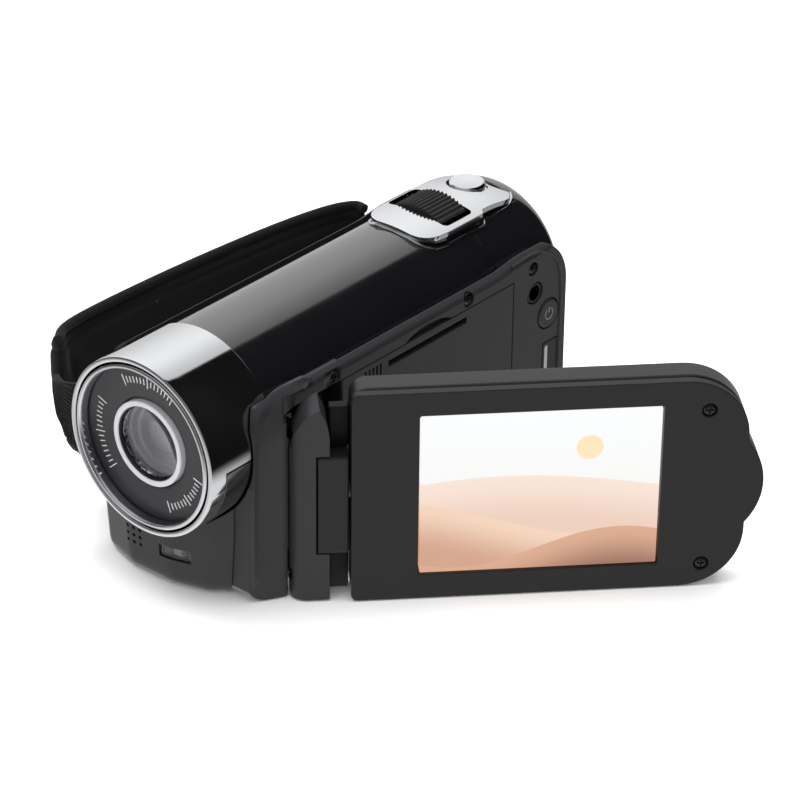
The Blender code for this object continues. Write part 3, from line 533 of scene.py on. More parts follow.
V3, FLOAT, TINT = "Vector", "Float", "Color"
GRAIN = Effect("moulded_grain", (("Vector", V3, None), ("Colour", TINT, None),
                                 ("Scale", FLOAT, 3000.0), ("Roughness", FLOAT, 0.5),
                                 ("Drift", FLOAT, 0.06)),
               (("Colour", TINT), ("Roughness", FLOAT), ("Height", FLOAT)), wire_grain)
WEAR = Effect("edge_wear", (("Vector", V3, None), ("Radius", FLOAT, 0.0003),
                            ("Amount", FLOAT, 0.3)),
              (("Mask", FLOAT), ("Normal", V3)), wire_wear)
SPECKS = Effect("dust_specks", (("Vector", V3, None), ("Scale", FLOAT, 900.0),
                                ("Amount", FLOAT, 0.5)), (("Mask", FLOAT),), wire_specks)
MARKS = Effect("handling_marks", (("Vector", V3, None), ("Roughness", FLOAT, 0.1),
                                  ("Amount", FLOAT, 0.05)), (("Roughness", FLOAT),), wire_marks)
WEAVE = Effect("woven_yarn", (("Vector", V3, None), ("Colour", TINT, None),
                              ("Shade", TINT, None), ("Scale", FLOAT, 500.0)),
               (("Colour", TINT), ("Height", FLOAT)), wire_weave)


# ------------------------------------------------------------------ finishes
@dataclass(frozen=True)
class Finish:
    """What every finish has: a name and a base colour."""

    name: str
    colour: Colour

    def material(self) -> bpy.types.Material:
        """Build the material the first time and hand it out after that."""
        found = bpy.data.materials.get(self.name)
        if found:
            return found
        material = bpy.data.materials.new(self.name)
        material.use_nodes = True
        w = Wiring(material.node_tree)
        shader = material.node_tree.nodes["Principled BSDF"]
        where = w.node("TexCoord").outputs["Object"]
        self.wire(w, shader, where)
        return material

    def wire(self, w: Wiring, shader: bpy.types.Node, where: bpy.types.NodeSocket) -> None:
        """Wire the finish into its shader."""
        raise NotImplementedError

    def effect(self, w: Wiring, effect: Effect, where: bpy.types.NodeSocket,
               **values: object) -> bpy.types.Node:
        """Place an effect with this finish's own values.

        Args:
            w: wiring of the material.
            effect: the shared effect.
            where: coordinates for it.
            values: the value of each input, by the name of the input.

        Returns:
            The group node.
        """
        node = w.node("Group", node_tree=effect.tree())
        w.feed(node.inputs["Vector"], where)
        for key, value in values.items():
            w.feed(node.inputs[key], value)
        return node

    def rgba(self, gain: float = 1.0) -> tuple[float, float, float, float]:
        """The base colour, made lighter or darker."""
        return (*[c * gain for c in self.colour], 1.0)


@dataclass(frozen=True)
class Plastic(Finish):
    """Moulded plastic, from polished to spark-eroded."""

    roughness: float = 0.45
    grain: float = 3200.0
    depth: float = 0.03
    drift: float = 0.05
    edge: float = 0.3
    radius: float = 0.3
    marks: float = 0.0
    coat: float = 0.0
    ior: float = 1.5

    def wire(self, w: Wiring, shader: bpy.types.Node, where: bpy.types.NodeSocket) -> None:
        """Grain and drift under worn, slightly rounded edges."""
        shader.inputs["IOR"].default_value = self.ior
        grain = self.effect(w, GRAIN, where, Colour=self.rgba(), Scale=self.grain,
                            Roughness=self.roughness, Drift=self.drift)
        wear = self.effect(w, WEAR, where, Radius=self.radius * MM, Amount=self.edge)
        w.feed(shader.inputs["Base Color"], w.blend(
            wear.outputs["Mask"], grain.outputs["Colour"], self.rgba(3.2)))
        rough = grain.outputs["Roughness"]
        if self.marks:
            marks = self.effect(w, MARKS, where, Roughness=rough, Amount=self.marks)
            rough = marks.outputs["Roughness"]
        w.feed(shader.inputs["Roughness"], rough)
        bump = w.node("Bump")
        bump.inputs["Strength"].default_value = 0.5
        bump.inputs["Distance"].default_value = self.depth * MM
        w.feed(bump.inputs["Height"], grain.outputs["Height"])
        w.feed(bump.inputs["Normal"], wear.outputs["Normal"])
        w.feed(shader.inputs["Normal"], bump.outputs[0])
        if self.coat:
            shader.inputs["Coat Weight"].default_value = self.coat
            shader.inputs["Coat Roughness"].default_value = 0.04


@dataclass(frozen=True)
class Metal(Finish):
    """Plated or bare metal with hairlines and finger marks."""

    roughness: float = 0.1
    marks: float = 0.05
    radius: float = 0.15
    drift: float = 0.03

    def wire(self, w: Wiring, shader: bpy.types.Node, where: bpy.types.NodeSocket) -> None:
        """Marks in the roughness, a faint drift of tone and rounded edges."""
        grain = self.effect(w, GRAIN, where, Colour=self.rgba(), Scale=2200.0,
                            Roughness=self.roughness, Drift=self.drift)
        marks = self.effect(w, MARKS, where, Roughness=grain.outputs["Roughness"],
                            Amount=self.marks)
        wear = self.effect(w, WEAR, where, Radius=self.radius * MM, Amount=0.0)
        w.feed(shader.inputs["Base Color"], grain.outputs["Colour"])
        w.feed(shader.inputs["Roughness"], marks.outputs["Roughness"])
        w.feed(shader.inputs["Normal"], wear.outputs["Normal"])
        shader.inputs["Metallic"].default_value = 1.0


@dataclass(frozen=True)
class Glass(Finish):
    """Clear glass with a tinted anti-reflection coat."""

    tint: Colour = (0.92, 0.9, 1.0)
    clear: float = 1.0

    def wire(self, w: Wiring, shader: bpy.types.Node, where: bpy.types.NodeSocket) -> None:
        """Nearly perfect polish with a trace of dust in the roughness."""
        specks = self.effect(w, SPECKS, where, Scale=700.0, Amount=0.25)
        w.feed(shader.inputs["Roughness"], w.maths("ADD", specks.outputs["Mask"], 0.015))
        shader.inputs["Base Color"].default_value = self.rgba()
        shader.inputs["Transmission Weight"].default_value = self.clear
        shader.inputs["IOR"].default_value = 1.5
        shader.inputs["Specular Tint"].default_value = (*self.tint, 1.0)


@dataclass(frozen=True)
class Cloth(Finish):
    """Woven or napped fabric with a soft sheen and dust on it."""

    yarn: float = 420.0
    depth: float = 0.25
    dust: float = 0.35
    sheen: float = 0.25

    def wire(self, w: Wiring, shader: bpy.types.Node, where: bpy.types.NodeSocket) -> None:
        """Yarn relief with painted shade in its hollows, drifting tone and sparse pale specks."""
        grain = self.effect(w, GRAIN, where, Colour=self.rgba(), Scale=1500.0,
                            Roughness=0.88, Drift=0.12)
        # The darker colour given as Shade is painted into the weave's hollows as shade.
        weave = self.effect(w, WEAVE, where, Colour=grain.outputs["Colour"],
                            Shade=self.rgba(0.45), Scale=self.yarn)
        specks = self.effect(w, SPECKS, where, Scale=380.0, Amount=self.dust)
        w.feed(shader.inputs["Base Color"], w.blend(
            specks.outputs["Mask"], weave.outputs["Colour"], (0.22, 0.21, 0.2, 1.0)))
        w.feed(shader.inputs["Roughness"], grain.outputs["Roughness"])
        bump = w.node("Bump")
        bump.inputs["Strength"].default_value = 0.7
        bump.inputs["Distance"].default_value = self.depth * MM
        w.feed(bump.inputs["Height"], weave.outputs["Height"])
        w.feed(shader.inputs["Normal"], bump.outputs[0])
        shader.inputs["Sheen Weight"].default_value = self.sheen
        shader.inputs["Sheen Roughness"].default_value = 0.5


@dataclass(frozen=True)
class Circuit(Finish):
    """Solder mask over copper tracks."""

    def wire(self, w: Wiring, shader: bpy.types.Node, where: bpy.types.NodeSocket) -> None:
        """Tracks as paler bands."""
        wave = w.node("TexBrick")
        w.feed(wave.inputs["Vector"], where)
        wave.inputs["Scale"].default_value = 260.0
        wave.inputs["Mortar Size"].default_value = 0.05
        track = w.maths("SUBTRACT", 1.0, wave.outputs["Fac"])
        w.feed(shader.inputs["Base Color"], w.blend(track, self.rgba(2.2), self.rgba()))
        w.feed(shader.inputs["Roughness"], w.span(track, 0.0, 1.0, 0.3, 0.5))


@dataclass(frozen=True)
class Picture(Finish):
    """A lit display showing dunes under a pale sky, within its own panel frame."""

    left: float = 21.9
    right: float = 70.2
    bottom: float = 5.8
    top: float = 42.4

    def wire(self, w: Wiring, shader: bpy.types.Node, where: bpy.types.NodeSocket) -> None:
        """Sky, a low sun, and three lines of dunes from far to near."""
        axes = w.node("SeparateXYZ")
        w.feed(axes.inputs[0], where)
        u = w.maths("DIVIDE", w.maths("SUBTRACT", axes.outputs["X"], self.left * MM),
                    (self.right - self.left) * MM)
        v = w.maths("DIVIDE", w.maths("SUBTRACT", axes.outputs["Z"], self.bottom * MM),
                    (self.top - self.bottom) * MM)
        picture = w.blend(v, (0.93, 0.90, 0.86, 1), (0.97, 0.985, 1.0, 1))
        sun = w.maths("SQRT", w.maths("ADD", w.maths("POWER", w.maths(
            "MULTIPLY", w.maths("SUBTRACT", u, 0.70), 1.33), 2.0), w.maths(
                "POWER", w.maths("SUBTRACT", v, 0.76), 2.0)))
        picture = w.blend(w.span(sun, 0.070, 0.078, 1.0, 0.0), picture, (1.0, 0.80, 0.52, 1))
        ridges = ((0.50, 0.10, 2.4, 0.7, (0.86, 0.62, 0.50, 1), (0.95, 0.78, 0.68, 1)),
                  (0.33, 0.13, 3.3, 2.1, (0.66, 0.36, 0.24, 1), (0.92, 0.66, 0.50, 1)),
                  (0.14, 0.11, 4.6, 4.0, (0.28, 0.12, 0.07, 1), (0.72, 0.40, 0.26, 1)))
        for base, swing, turns, shift, low, high in ridges:
            wave = w.maths("SINE", w.maths("ADD", w.maths("MULTIPLY", u, turns), shift))
            crest = w.maths("ADD", w.maths("MULTIPLY", wave, swing), base)
            under = w.maths("SUBTRACT", crest, v)
            mask = w.span(under, -0.003, 0.003, 0.0, 1.0)
            tone = w.blend(w.span(under, 0.0, 0.30, 0.0, 1.0), high, low)
            picture = w.blend(mask, picture, tone)
        shader.inputs["Base Color"].default_value = (0.02, 0.02, 0.02, 1)
        w.feed(shader.inputs["Emission Color"], picture)
        shader.inputs["Emission Strength"].default_value = 0.95
        specks = self.effect(w, SPECKS, where, Scale=500.0, Amount=0.2)
        w.feed(shader.inputs["Roughness"], w.maths("ADD", specks.outputs["Mask"], 0.12))


@dataclass(frozen=True)
class Floor(Finish):
    """Plain pale floor."""

    def wire(self, w: Wiring, shader: bpy.types.Node, where: bpy.types.NodeSocket) -> None:
        """Even tone with the slightest drift."""
        grain = self.effect(w, GRAIN, where, Colour=self.rgba(), Scale=40.0,
                            Roughness=0.9, Drift=0.004)
        w.feed(shader.inputs["Base Color"], grain.outputs["Colour"])
        w.feed(shader.inputs["Roughness"], grain.outputs["Roughness"])


GLOSS = Plastic("polished_black", (0.004, 0.004, 0.005), roughness=0.13, grain=900.0,
                depth=0.002, drift=0.02, edge=0.12, radius=0.25, marks=0.03, coat=1.0,
                ior=2.0)
BACK = Plastic("screen_back_black", (0.008, 0.008, 0.009), roughness=0.30, grain=2600.0,
               depth=0.01, edge=0.15)
SATIN = Plastic("satin_case_black", (0.020, 0.020, 0.022), roughness=0.42)
FRAME = Plastic("screen_frame_black", (0.009, 0.009, 0.010), roughness=0.48, grain=3600.0)
MATTE = Plastic("matte_control_black", (0.016, 0.016, 0.017), roughness=0.52, depth=0.04)
CHARCOAL = Plastic("face_plate_charcoal", (0.024, 0.024, 0.027), roughness=0.3, grain=1600.0,
                   depth=0.004, edge=0.1, marks=0.05)
BAFFLE = Plastic("lens_baffle_grey", (0.11, 0.11, 0.12), roughness=0.35, depth=0.004)
WELL = Plastic("lens_well_black", (0.012, 0.012, 0.014), roughness=0.3, depth=0.004)
# Near-black finish for the hinge covers, darker than the case's own black: painted shade for the
# hollow beside the swivel block.
PAINTED_SHADE_COVE = Plastic("hinge_cover_painted_shade", (0.002, 0.002, 0.002), roughness=0.6, depth=0.004, edge=0.0)
PRINT = Plastic("printed_pale_grey", (0.62, 0.62, 0.64), roughness=0.5, depth=0.004, edge=0.0)
LABEL = Plastic("battery_wrap_grey", (0.20, 0.21, 0.23), roughness=0.45)
RED = Plastic("record_red", (0.45, 0.02, 0.02), roughness=0.35, depth=0.01)
LAMP = Plastic("lamp_reflector", (0.26, 0.26, 0.24), roughness=0.3, depth=0.01, edge=0.0)
CHROME = Metal("plated_chrome", (0.84, 0.85, 0.87), roughness=0.06, marks=0.05)
BRIGHT = Plastic("inner_ring_pale", (0.52, 0.52, 0.54), roughness=0.35, depth=0.004, edge=0.0)
# Bright metal used only for the strip that stands in for the highlight along the port cover's edge.
HIGHLIGHT_SILVER = Metal("painted_highlight_silver", (0.80, 0.80, 0.82), roughness=0.22, marks=0.03)
STEEL = Metal("bare_steel", (0.46, 0.46, 0.48), roughness=0.32, marks=0.10)
DARK_STEEL = Metal("blackened_steel", (0.06, 0.06, 0.065), roughness=0.3, marks=0.08)
BRASS = Metal("bare_brass", (0.68, 0.50, 0.22), roughness=0.3, marks=0.12)
LENS = Glass("coated_lens_glass", (1.0, 1.0, 1.0))
WINDOW = Glass("lamp_window_clear", (0.86, 0.88, 0.9), tint=(1.0, 1.0, 1.0))
BOARD = Circuit("green_solder_mask", (0.02, 0.13, 0.06))
SUEDE = Cloth("strap_black_suede", (0.006, 0.006, 0.0065), yarn=950.0, depth=0.08, dust=0.12,
              sheen=0.05)
NYLON = Cloth("ribbed_black_nylon", (0.010, 0.010, 0.011), yarn=520.0, depth=0.3, dust=0.1,
              sheen=0.1)
THREAD = Cloth("black_sewing_thread", (0.035, 0.035, 0.037), yarn=1500.0, dust=0.0)
DUNES = Picture("display_dunes", (1.0, 1.0, 1.0))
PALE = Floor("pale_floor", (0.93, 0.93, 0.93))

CARRIED: dict[str, Finish] = {
    "bottom_cover": MATTE, "battery_door": SATIN, "port_cover": MATTE,
    "power_button": SATIN, "menu_button": SATIN, "nav_pad": SATIN, "record_button": RED,
    "status_lamp": WINDOW, "lamp_led": LAMP, "av_jack": DARK_STEEL,
    "usb_socket": STEEL, "tripod_nut": BRASS, "rear_lens": LENS, "lens_holder": WELL,
    "image_sensor": CHARCOAL, "sensor_board": BOARD, "main_board": BOARD, "battery": LABEL,
    "battery_contacts": BRASS, "card_socket": STEEL, "speaker": MATTE, "microphone": STEEL,
    "control_frame": MATTE, "zoom_shaft": STEEL, "zoom_spring": STEEL, "shutter_spring": STEEL,
    "hinge_pin": STEEL, "hinge_bracket": DARK_STEEL, "hinge_bush_lower": BRASS,
    "hinge_bush_upper": BRASS, "swivel_shaft": STEEL, "strap_lug_front": DARK_STEEL,
    "strap_lug_rear": DARK_STEEL,
}


def dress(obj: bpy.types.Object, finish: Finish) -> bpy.types.Object:
    """Give an object one finish all over."""
    obj.data.materials.clear()
    obj.data.materials.append(finish.material())
    return obj


def fit(obj: bpy.types.Object, finish: Finish, body: Body, slot: Slot,
        *nodes: str) -> bpy.types.Object:
    """Finish a piece and fix it to its body.

    Args:
        obj: the piece.
        finish: its finish.
        body: the body it rides on.
        slot: the record's slot; not used.
        nodes: CAD nodes it stands for.

    Returns:
        The piece.
    """
    Maker.shade(obj)
    dress(obj, finish)
    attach(obj, body.value)
    if nodes:
        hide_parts(*nodes)
    LOG.info("%s: %d faces on %s", obj.name, len(obj.data.polygons), body.value)
    return obj


# ------------------------------------------------------------------ sub-assemblies
@dataclass
class LensGroup:
    """Bright shroud, collar, rings, face plate and glass at the front of the barrel."""

    shroud_r: float = 19.3
    wall: float = 1.3
    lip: float = 55.0
    ring_back: float = 51.0
    seam: float = 36.8
    gap: float = 0.3
    sides: int = 160
    mark_r: float = 13.6

    def build(self) -> None:
        """Make every piece of the group."""
        self.build_shroud()
        self.build_rings()
        self.build_glass()
        self.build_marks()

    def build_shroud(self) -> None:
        """The shroud, whole at its lip and open below behind it, and the collar there."""
        frame_lens = about_lens()
        r, inner = self.shroud_r, self.shroud_r - self.wall
        nose = [(inner, self.lip - 0.5), (inner + 0.15, self.lip - 0.12), (inner + 0.42, self.lip),
                (r - 0.5, self.lip), (r - 0.17, self.lip - 0.14), (r, self.lip - 0.55)]
        shroud = Maker.lathe("lens_shroud_skin", [*nose, (r, self.ring_back),
                                                  (inner, self.ring_back)],
                             frame_lens, self.sides)
        upper = Maker.lathe("shroud_upper", [(r, self.ring_back + 1.0), (r, self.seam + 0.12),
                                             (r - 0.12, self.seam), (inner, self.seam),
                                             (inner, self.ring_back + 1.0)],
                            frame_lens, self.sides, 0.0, 180.0)
        Maker.combine(shroud, "UNION", upper)
        fit(shroud, CHROME, Body.CASE, Slot.CHROME, "lens_shroud")
        collar = Maker.lathe("front_collar_skin",
                             [(r - 0.05, self.ring_back - self.gap), (r - 0.05, self.seam + 0.2),
                              (inner, self.seam + 0.2), (inner, self.ring_back - self.gap)],
                             frame_lens, self.sides, 180.9, 178.2)
        fit(Maker.soften(collar, 0.12, 2, 60), GLOSS, Body.CASE, Slot.GLOSS, "front_collar")

    def build_rings(self) -> None:
        """Trim ring, face plate and the silver ring round the glass."""
        frame_lens = about_lens()
        inner = self.shroud_r - self.wall
        trim = Maker.lathe("lens_trim_ring_skin",
                           [(16.6, 53.0), (16.6, 54.5), (16.72, 54.9), (16.95, 55.15),
                            (17.3, 55.15), (17.6, 54.95), (inner - self.gap, 54.7),
                            (inner - self.gap, 53.0)], frame_lens, self.sides)
        fit(trim, CHROME, Body.CASE, Slot.CHROME, "lens_trim_ring")
        plate = Maker.lathe("lens_face_plate_skin",
                            [(9.4, 51.1), (9.4, 52.0), (10.1, 52.45), (16.2, 52.6),
                             (inner - self.gap, 52.6), (inner - self.gap, 51.1)],
                            frame_lens, self.sides)
        fit(plate, CHARCOAL, Body.CASE, Slot.CHARCOAL, "lens_face_plate")
        ring = Maker.lathe("lens_inner_ring_skin",
                           [(8.0, 50.9), (8.0, 53.0), (8.1, 53.15), (8.25, 53.2), (9.0, 53.2),
                            (9.15, 53.12), (9.2, 52.9), (9.2, 50.9)], frame_lens, 128)
        fit(ring, BRIGHT, Body.CASE, Slot.CHROME, "lens_inner_ring")
        sleeve = Maker.lathe("lens_sleeve", [(7.7, 50.9), (7.7, 52.3), (7.98, 52.9),
                                             (7.98, 50.9)], frame_lens, 128)
        fit(sleeve, WELL, Body.CASE, Slot.MATTE)

    def build_glass(self) -> None:
        """Front element, and the stepped baffle and pupil behind it."""
        frame_lens = about_lens()
        curve = [(7.6 * k / 16, 52.75 - 0.7 * (k / 16) ** 2) for k in range(17)]
        glass = Maker.lathe("front_lens_glass", [*curve, (7.6, 48.6), (4.0, 48.15), (0, 48.0)],
                            frame_lens, 96)
        fit(glass, LENS, Body.CASE, Slot.GLASS, "front_lens")
        steps: list[Point] = []
        radius, depth = 7.6, 47.7
        for k in range(5):
            steps += [(radius, depth), (radius - 0.25, depth + 0.15), (radius - 0.75, depth)]
            radius, depth = radius - 1.0, depth - 1.5
        baffle = Maker.lathe("lens_baffle", [*steps, (radius, depth), (radius, 39.0), (7.6, 39.0)],
                             frame_lens, 96)
        fit(baffle, BAFFLE, Body.CASE, Slot.CHARCOAL)
        pupil = Maker.lathe("lens_pupil", [(0, 40.4), (1.6, 40.2), (2.45, 39.6), (2.45, 39.2),
                                           (0, 39.2)], frame_lens, 64)
        fit(pupil, WELL, Body.CASE, Slot.MATTE)

    def build_marks(self) -> None:
        """Plain printed scale ticks on the face plate, in three groups."""
        bars = []
        for first, last, count in ((62, 118, 15), (158, 222, 15), (292, 345, 13)):
            for k in range(count):
                a = math.radians(first + (last - first) * k / (count - 1))
                reach = 1.25 if k % (count // 2) == 0 else 0.7
                way = Vector((math.cos(a), math.sin(a), 0))
                bars.append([way * (self.mark_r - reach) + Vector((0, 0, 52.56)),
                             way * (self.mark_r + reach) + Vector((0, 0, 52.60))])
        fit(Maker.tube("face_scale_marks", bars, 0.13, about_lens(), 6), PRINT, Body.CASE,
            Slot.CHROME)


@dataclass
class Barrel:
    """Polished barrel cover with the opening under the controls."""

    radius: float = BARREL_R
    wall: float = 1.6
    start: float = -36.5
    stop: float = 34.7
    first: float = 30.0
    last: float = 155.0
    opening: float = 8.2
    opening_y: float = 23.0

    def build(self) -> None:
        """Make the cover."""
        loop = [(self.radius, -self.start), (self.radius, -self.stop),
                (self.radius - self.wall, -self.stop), (self.radius - self.wall, -self.start)]
        cover = Maker.lathe("barrel_cover_skin", loop, about_lens(), 180, self.first,
                            self.last - self.first)
        hole = [(-self.opening, self.opening_y), (self.opening, self.opening_y),
                (self.opening, self.stop + 5), (-self.opening, self.stop + 5)]
        Maker.combine(cover, "DIFFERENCE", Maker.prism("opening", hole, 40, 60))
        fit(cover, GLOSS, Body.CASE, Slot.GLOSS, "barrel_cover")


@dataclass
class RearCap:
    """Polished cap over the rear end with openings for the controls."""

    radius: float = BARREL_R
    start: float = 35.0
    rear: float = 57.0
    bend: float = 6.2
    wall: float = 1.6
    half_width: float = 17.8
    face: float = 56.4
    record: Point = (7.0, 35.0)
    nav: Point = (-4.5, 22.0)
    menu: Point = (7.5, 22.0)

    def dome(self, inset: float, start: float) -> list[Point]:
        """Profile of the rounded end, drawn in by inset, from start back to the axis."""
        bend, radius, rear = self.bend - inset, self.radius - inset, self.rear - inset
        arc = [math.radians(90 * k / 20) for k in range(21)]
        ring = [(radius - bend * (1 - math.sin(a)), -(rear - bend * (1 - math.cos(a))))
                for a in arc]
        return [(0, -rear), *ring, (radius, -start), (0, -start)]

    def build(self) -> None:
        """Make the cap."""
        cap = Maker.lathe("rear_cap_skin", self.dome(0.0, self.start), about_lens(), 160)
        lower = Maker.prism("lower", rounded(rectangle(
            -self.half_width, self.half_width, 2.4, 38.5, 4.0), 8), self.start + 1.0, self.face,
            Plane.XZ)
        Maker.combine(cap, "UNION", Maker.soften(lower, 0.8, 3, 50))
        inner = self.half_width - self.wall
        cuts = [Maker.lathe("hollow", self.dome(self.wall, self.start - 1), about_lens(), 120),
                Maker.prism("room", rounded(rectangle(-inner, inner, 4.0, 38.0, 3.0), 6),
                            self.start - 1, self.face - 1.6, Plane.XZ),
                Maker.prism("under", [(-30, self.start - 1), (30, self.start - 1), (30, 53.5),
                                      (-30, 53.5)], -5, 42),
                Maker.prism("opening", [(-8.2, 20), (8.2, 20), (8.2, 50.8), (-8.2, 50.8)], 40,
                            60)]
        for (x, z), radius in ((self.record, 4.6), (self.menu, 2.6), (self.nav, 6.1),
                               ((-7.0, 36.0), 1.3)):
            cuts.append(Maker.lathe("hole", [(0, 0), (radius, 0), (radius, 10), (0, 10)],
                                    facing((x, self.rear - 6, z), (0, 1, 0)), 64))
        Maker.combine(cap, "DIFFERENCE", *cuts)
        fit(cap, GLOSS, Body.CASE, Slot.GLOSS, "rear_cap")


@dataclass
class ControlTop:
    """Bright top plate with its dark band and base line, zoom rocker and shutter button."""

    top: float = 54.2
    lip: float = 1.0
    ramp_from: float = 27.5
    ramp_drop: float = 0.5
    crown: float = 0.013
    tail_from: float = 40.5
    tail_drop: float = 2.3
    window: tuple[float, float, float, float] = (-8.1, 8.1, 28.0, 37.0)
    rocker_r: float = 11.4
    rocker_z: float = 44.2
    shutter: Point = (-1.0, 45.8)
    ribs: int = 13

    def outline(self, inset: float) -> list[Point]:
        """Outline of the plate, stepped in behind the rocker and drawn in by inset."""
        corners = [(-8.6 + inset, 20.5 + inset, 5.0), (8.6 - inset, 20.5 + inset, 5.0),
                   (9.6 - inset, 27.0, 2.5), (9.6 - inset, 38.4 - inset, 0.7),
                   (8.6 - inset, 39.4 - inset, 0.7), (8.6 - inset, 52.6 - inset, 6.5),
                   (-8.6 + inset, 52.6 - inset, 6.5)]
        return rounded(corners, 8)

    def drop(self, x: float, y: float) -> float:
        """How far the top lies below its middle: over the barrel, at the front and at the tail."""
        front, tail = max(0.0, self.ramp_from - y) / 7.0, max(0.0, y - self.tail_from) / 12.1
        return self.crown * x * x + self.ramp_drop * front ** 1.6 + self.tail_drop * tail ** 1.7

    def ramp(self, obj: bpy.types.Object) -> bpy.types.Object:
        """Bend the top of a piece over the barrel and down at both ends."""
        for vertex in obj.data.vertices:
            x, y, z = vertex.co / MM
            share = min(1.0, max(0.0, (z - 50.5) / 2.5))
            vertex.co.z -= share * self.drop(x, y) * MM
        return obj

    def sheet(self, name: str, low: float, high: float) -> bpy.types.Object:
        """A finely divided slab wide enough for the plate."""
        bm = bmesh.new()
        bmesh.ops.create_grid(bm, x_segments=24, y_segments=40, size=1.0)
        for vertex in bm.verts:
            vertex.co = Vector((vertex.co.x * 12.3, 36.0 + vertex.co.y * 19.1, high)) * MM
        step = bmesh.ops.extrude_face_region(bm, geom=bm.faces[:])
        for item in step["geom"]:
            if isinstance(item, bmesh.types.BMVert):
                item.co.z = low * MM
        return Maker.adopt(name, bm, IDENTITY)

    def build(self) -> None:
        """Make the plate's three layers and the controls in it."""
        x0, x1, y0, y1 = self.window
        plate = self.sheet("control_plate_top", self.top - self.lip, self.top)
        Maker.combine(plate, "INTERSECT", Maker.prism("edge", self.outline(0.0), 50, 60))
        Maker.combine(plate, "DIFFERENCE",
                      Maker.prism("window", rounded(rectangle(x0, x1, y0, y1, 1.2), 5), 50, 60),
                      Maker.lathe("well", [(0, -5), (4.45, -5), (4.45, 5), (0, 5)],
                                  facing((*self.shutter, self.top), (0, 0, 1)), 64))
        Maker.soften(self.ramp(plate), 0.28, 3, 50)
        fit(plate, CHROME, Body.CASE, Slot.CHROME, "control_plate")

        band = Maker.prism("control_plate_band", self.outline(0.4), 46.9, self.top - self.lip)
        Maker.combine(band, "DIFFERENCE", Maker.prism("room", self.outline(1.5), 45, 60))
        Maker.combine(band, "DIFFERENCE", Maker.prism("travel", rounded(rectangle(
            x0 - 0.75, x1 + 0.75, y0 - 0.5, y1 + 0.5, 0.3), 3), 45, 60))
        barrel = Maker.lathe("barrel", [(0, 0), (19.1, 0), (19.1, -70), (0, -70)], about_lens(),
                             96)
        Maker.combine(band, "DIFFERENCE", barrel)
        fit(self.ramp(band), GLOSS, Body.CASE, Slot.GLOSS)

        line = [Vector((x, y, AXIS_Z + math.sqrt(BARREL_R ** 2 - x * x) + 0.2
                        - 0.9 * (max(0.0, y - 48.0) / 4.6) ** 2)) for x, y in self.outline(-0.25)]
        fit(Maker.tube("control_plate_line", [line + line[:2]], 0.34), CHROME, Body.CASE,
            Slot.CHROME)
        self.build_rocker()
        self.build_shutter()

    def build_rocker(self) -> None:
        """Ribbed drum of the zoom rocker with its web and hub."""
        _, _, y0, y1 = self.window
        y0, y1, half = y0 + 0.35, y1 - 0.35, 35.0
        outer, steps = [], self.ribs * 10
        for k in range(steps + 1):
            share = k / steps
            a = math.radians(90 + half - 2 * half * share)
            rise = 0.34 * max(0.0, math.sin(share * self.ribs * 2 * math.pi - math.pi / 2) + 0.35)
            fade = min(1.0, share * 12, (1 - share) * 12)
            r = self.rocker_r - 0.4 + rise * fade
            outer.append((r * math.cos(a), self.rocker_z + r * math.sin(a)))
        inner = []
        for k in range(17):
            a = math.radians(90 - half + 2 * half * k / 16)
            inner.append(((self.rocker_r - 2.0) * math.cos(a),
                          self.rocker_z + (self.rocker_r - 2.0) * math.sin(a)))
        drum = Maker.prism("zoom_rocker", outer + inner, y0, y1, Plane.XZ)
        Maker.soften(drum, 0.12, 2, 60)
        long = y1 - y0 - 1
        hub = Maker.lathe("rocker_hub", [(1.4, 0.0), (2.6, 0.0), (2.6, long), (1.4, long)],
                          facing((0, y0 + 0.5, self.rocker_z), (0, 1, 0)), 40)
        web = Maker.prism("rocker_web", [(-1.6, self.rocker_z + 2.2), (1.6, self.rocker_z + 2.2),
                                         (1.6, self.rocker_z + 10.2), (-1.6, self.rocker_z + 10.2)],
                          y0 + 1, y1 - 1, Plane.XZ)
        fit(drum, MATTE, Body.ZOOM, Slot.MATTE, "zoom_lever")
        fit(Maker.combine(hub, "UNION", web), MATTE, Body.ZOOM, Slot.MATTE)

    def build_shutter(self) -> None:
        """Dished button in a dark well."""
        place = facing((*self.shutter, self.top), (0, 0, 1))
        button = Maker.lathe("shutter_button_cap",
                             [(0, -0.1), (2.2, -0.04), (3.1, 0.1), (3.5, 0.1), (3.8, -0.12),
                              (3.9, -0.45), (3.9, -2.0), (4.3, -2.0), (4.3, -2.6), (1.2, -2.6),
                              (1.2, -8.0), (0, -8.0)], place, 96)
        fit(button, CHROME, Body.SHUTTER, Slot.CHROME, "shutter_button")


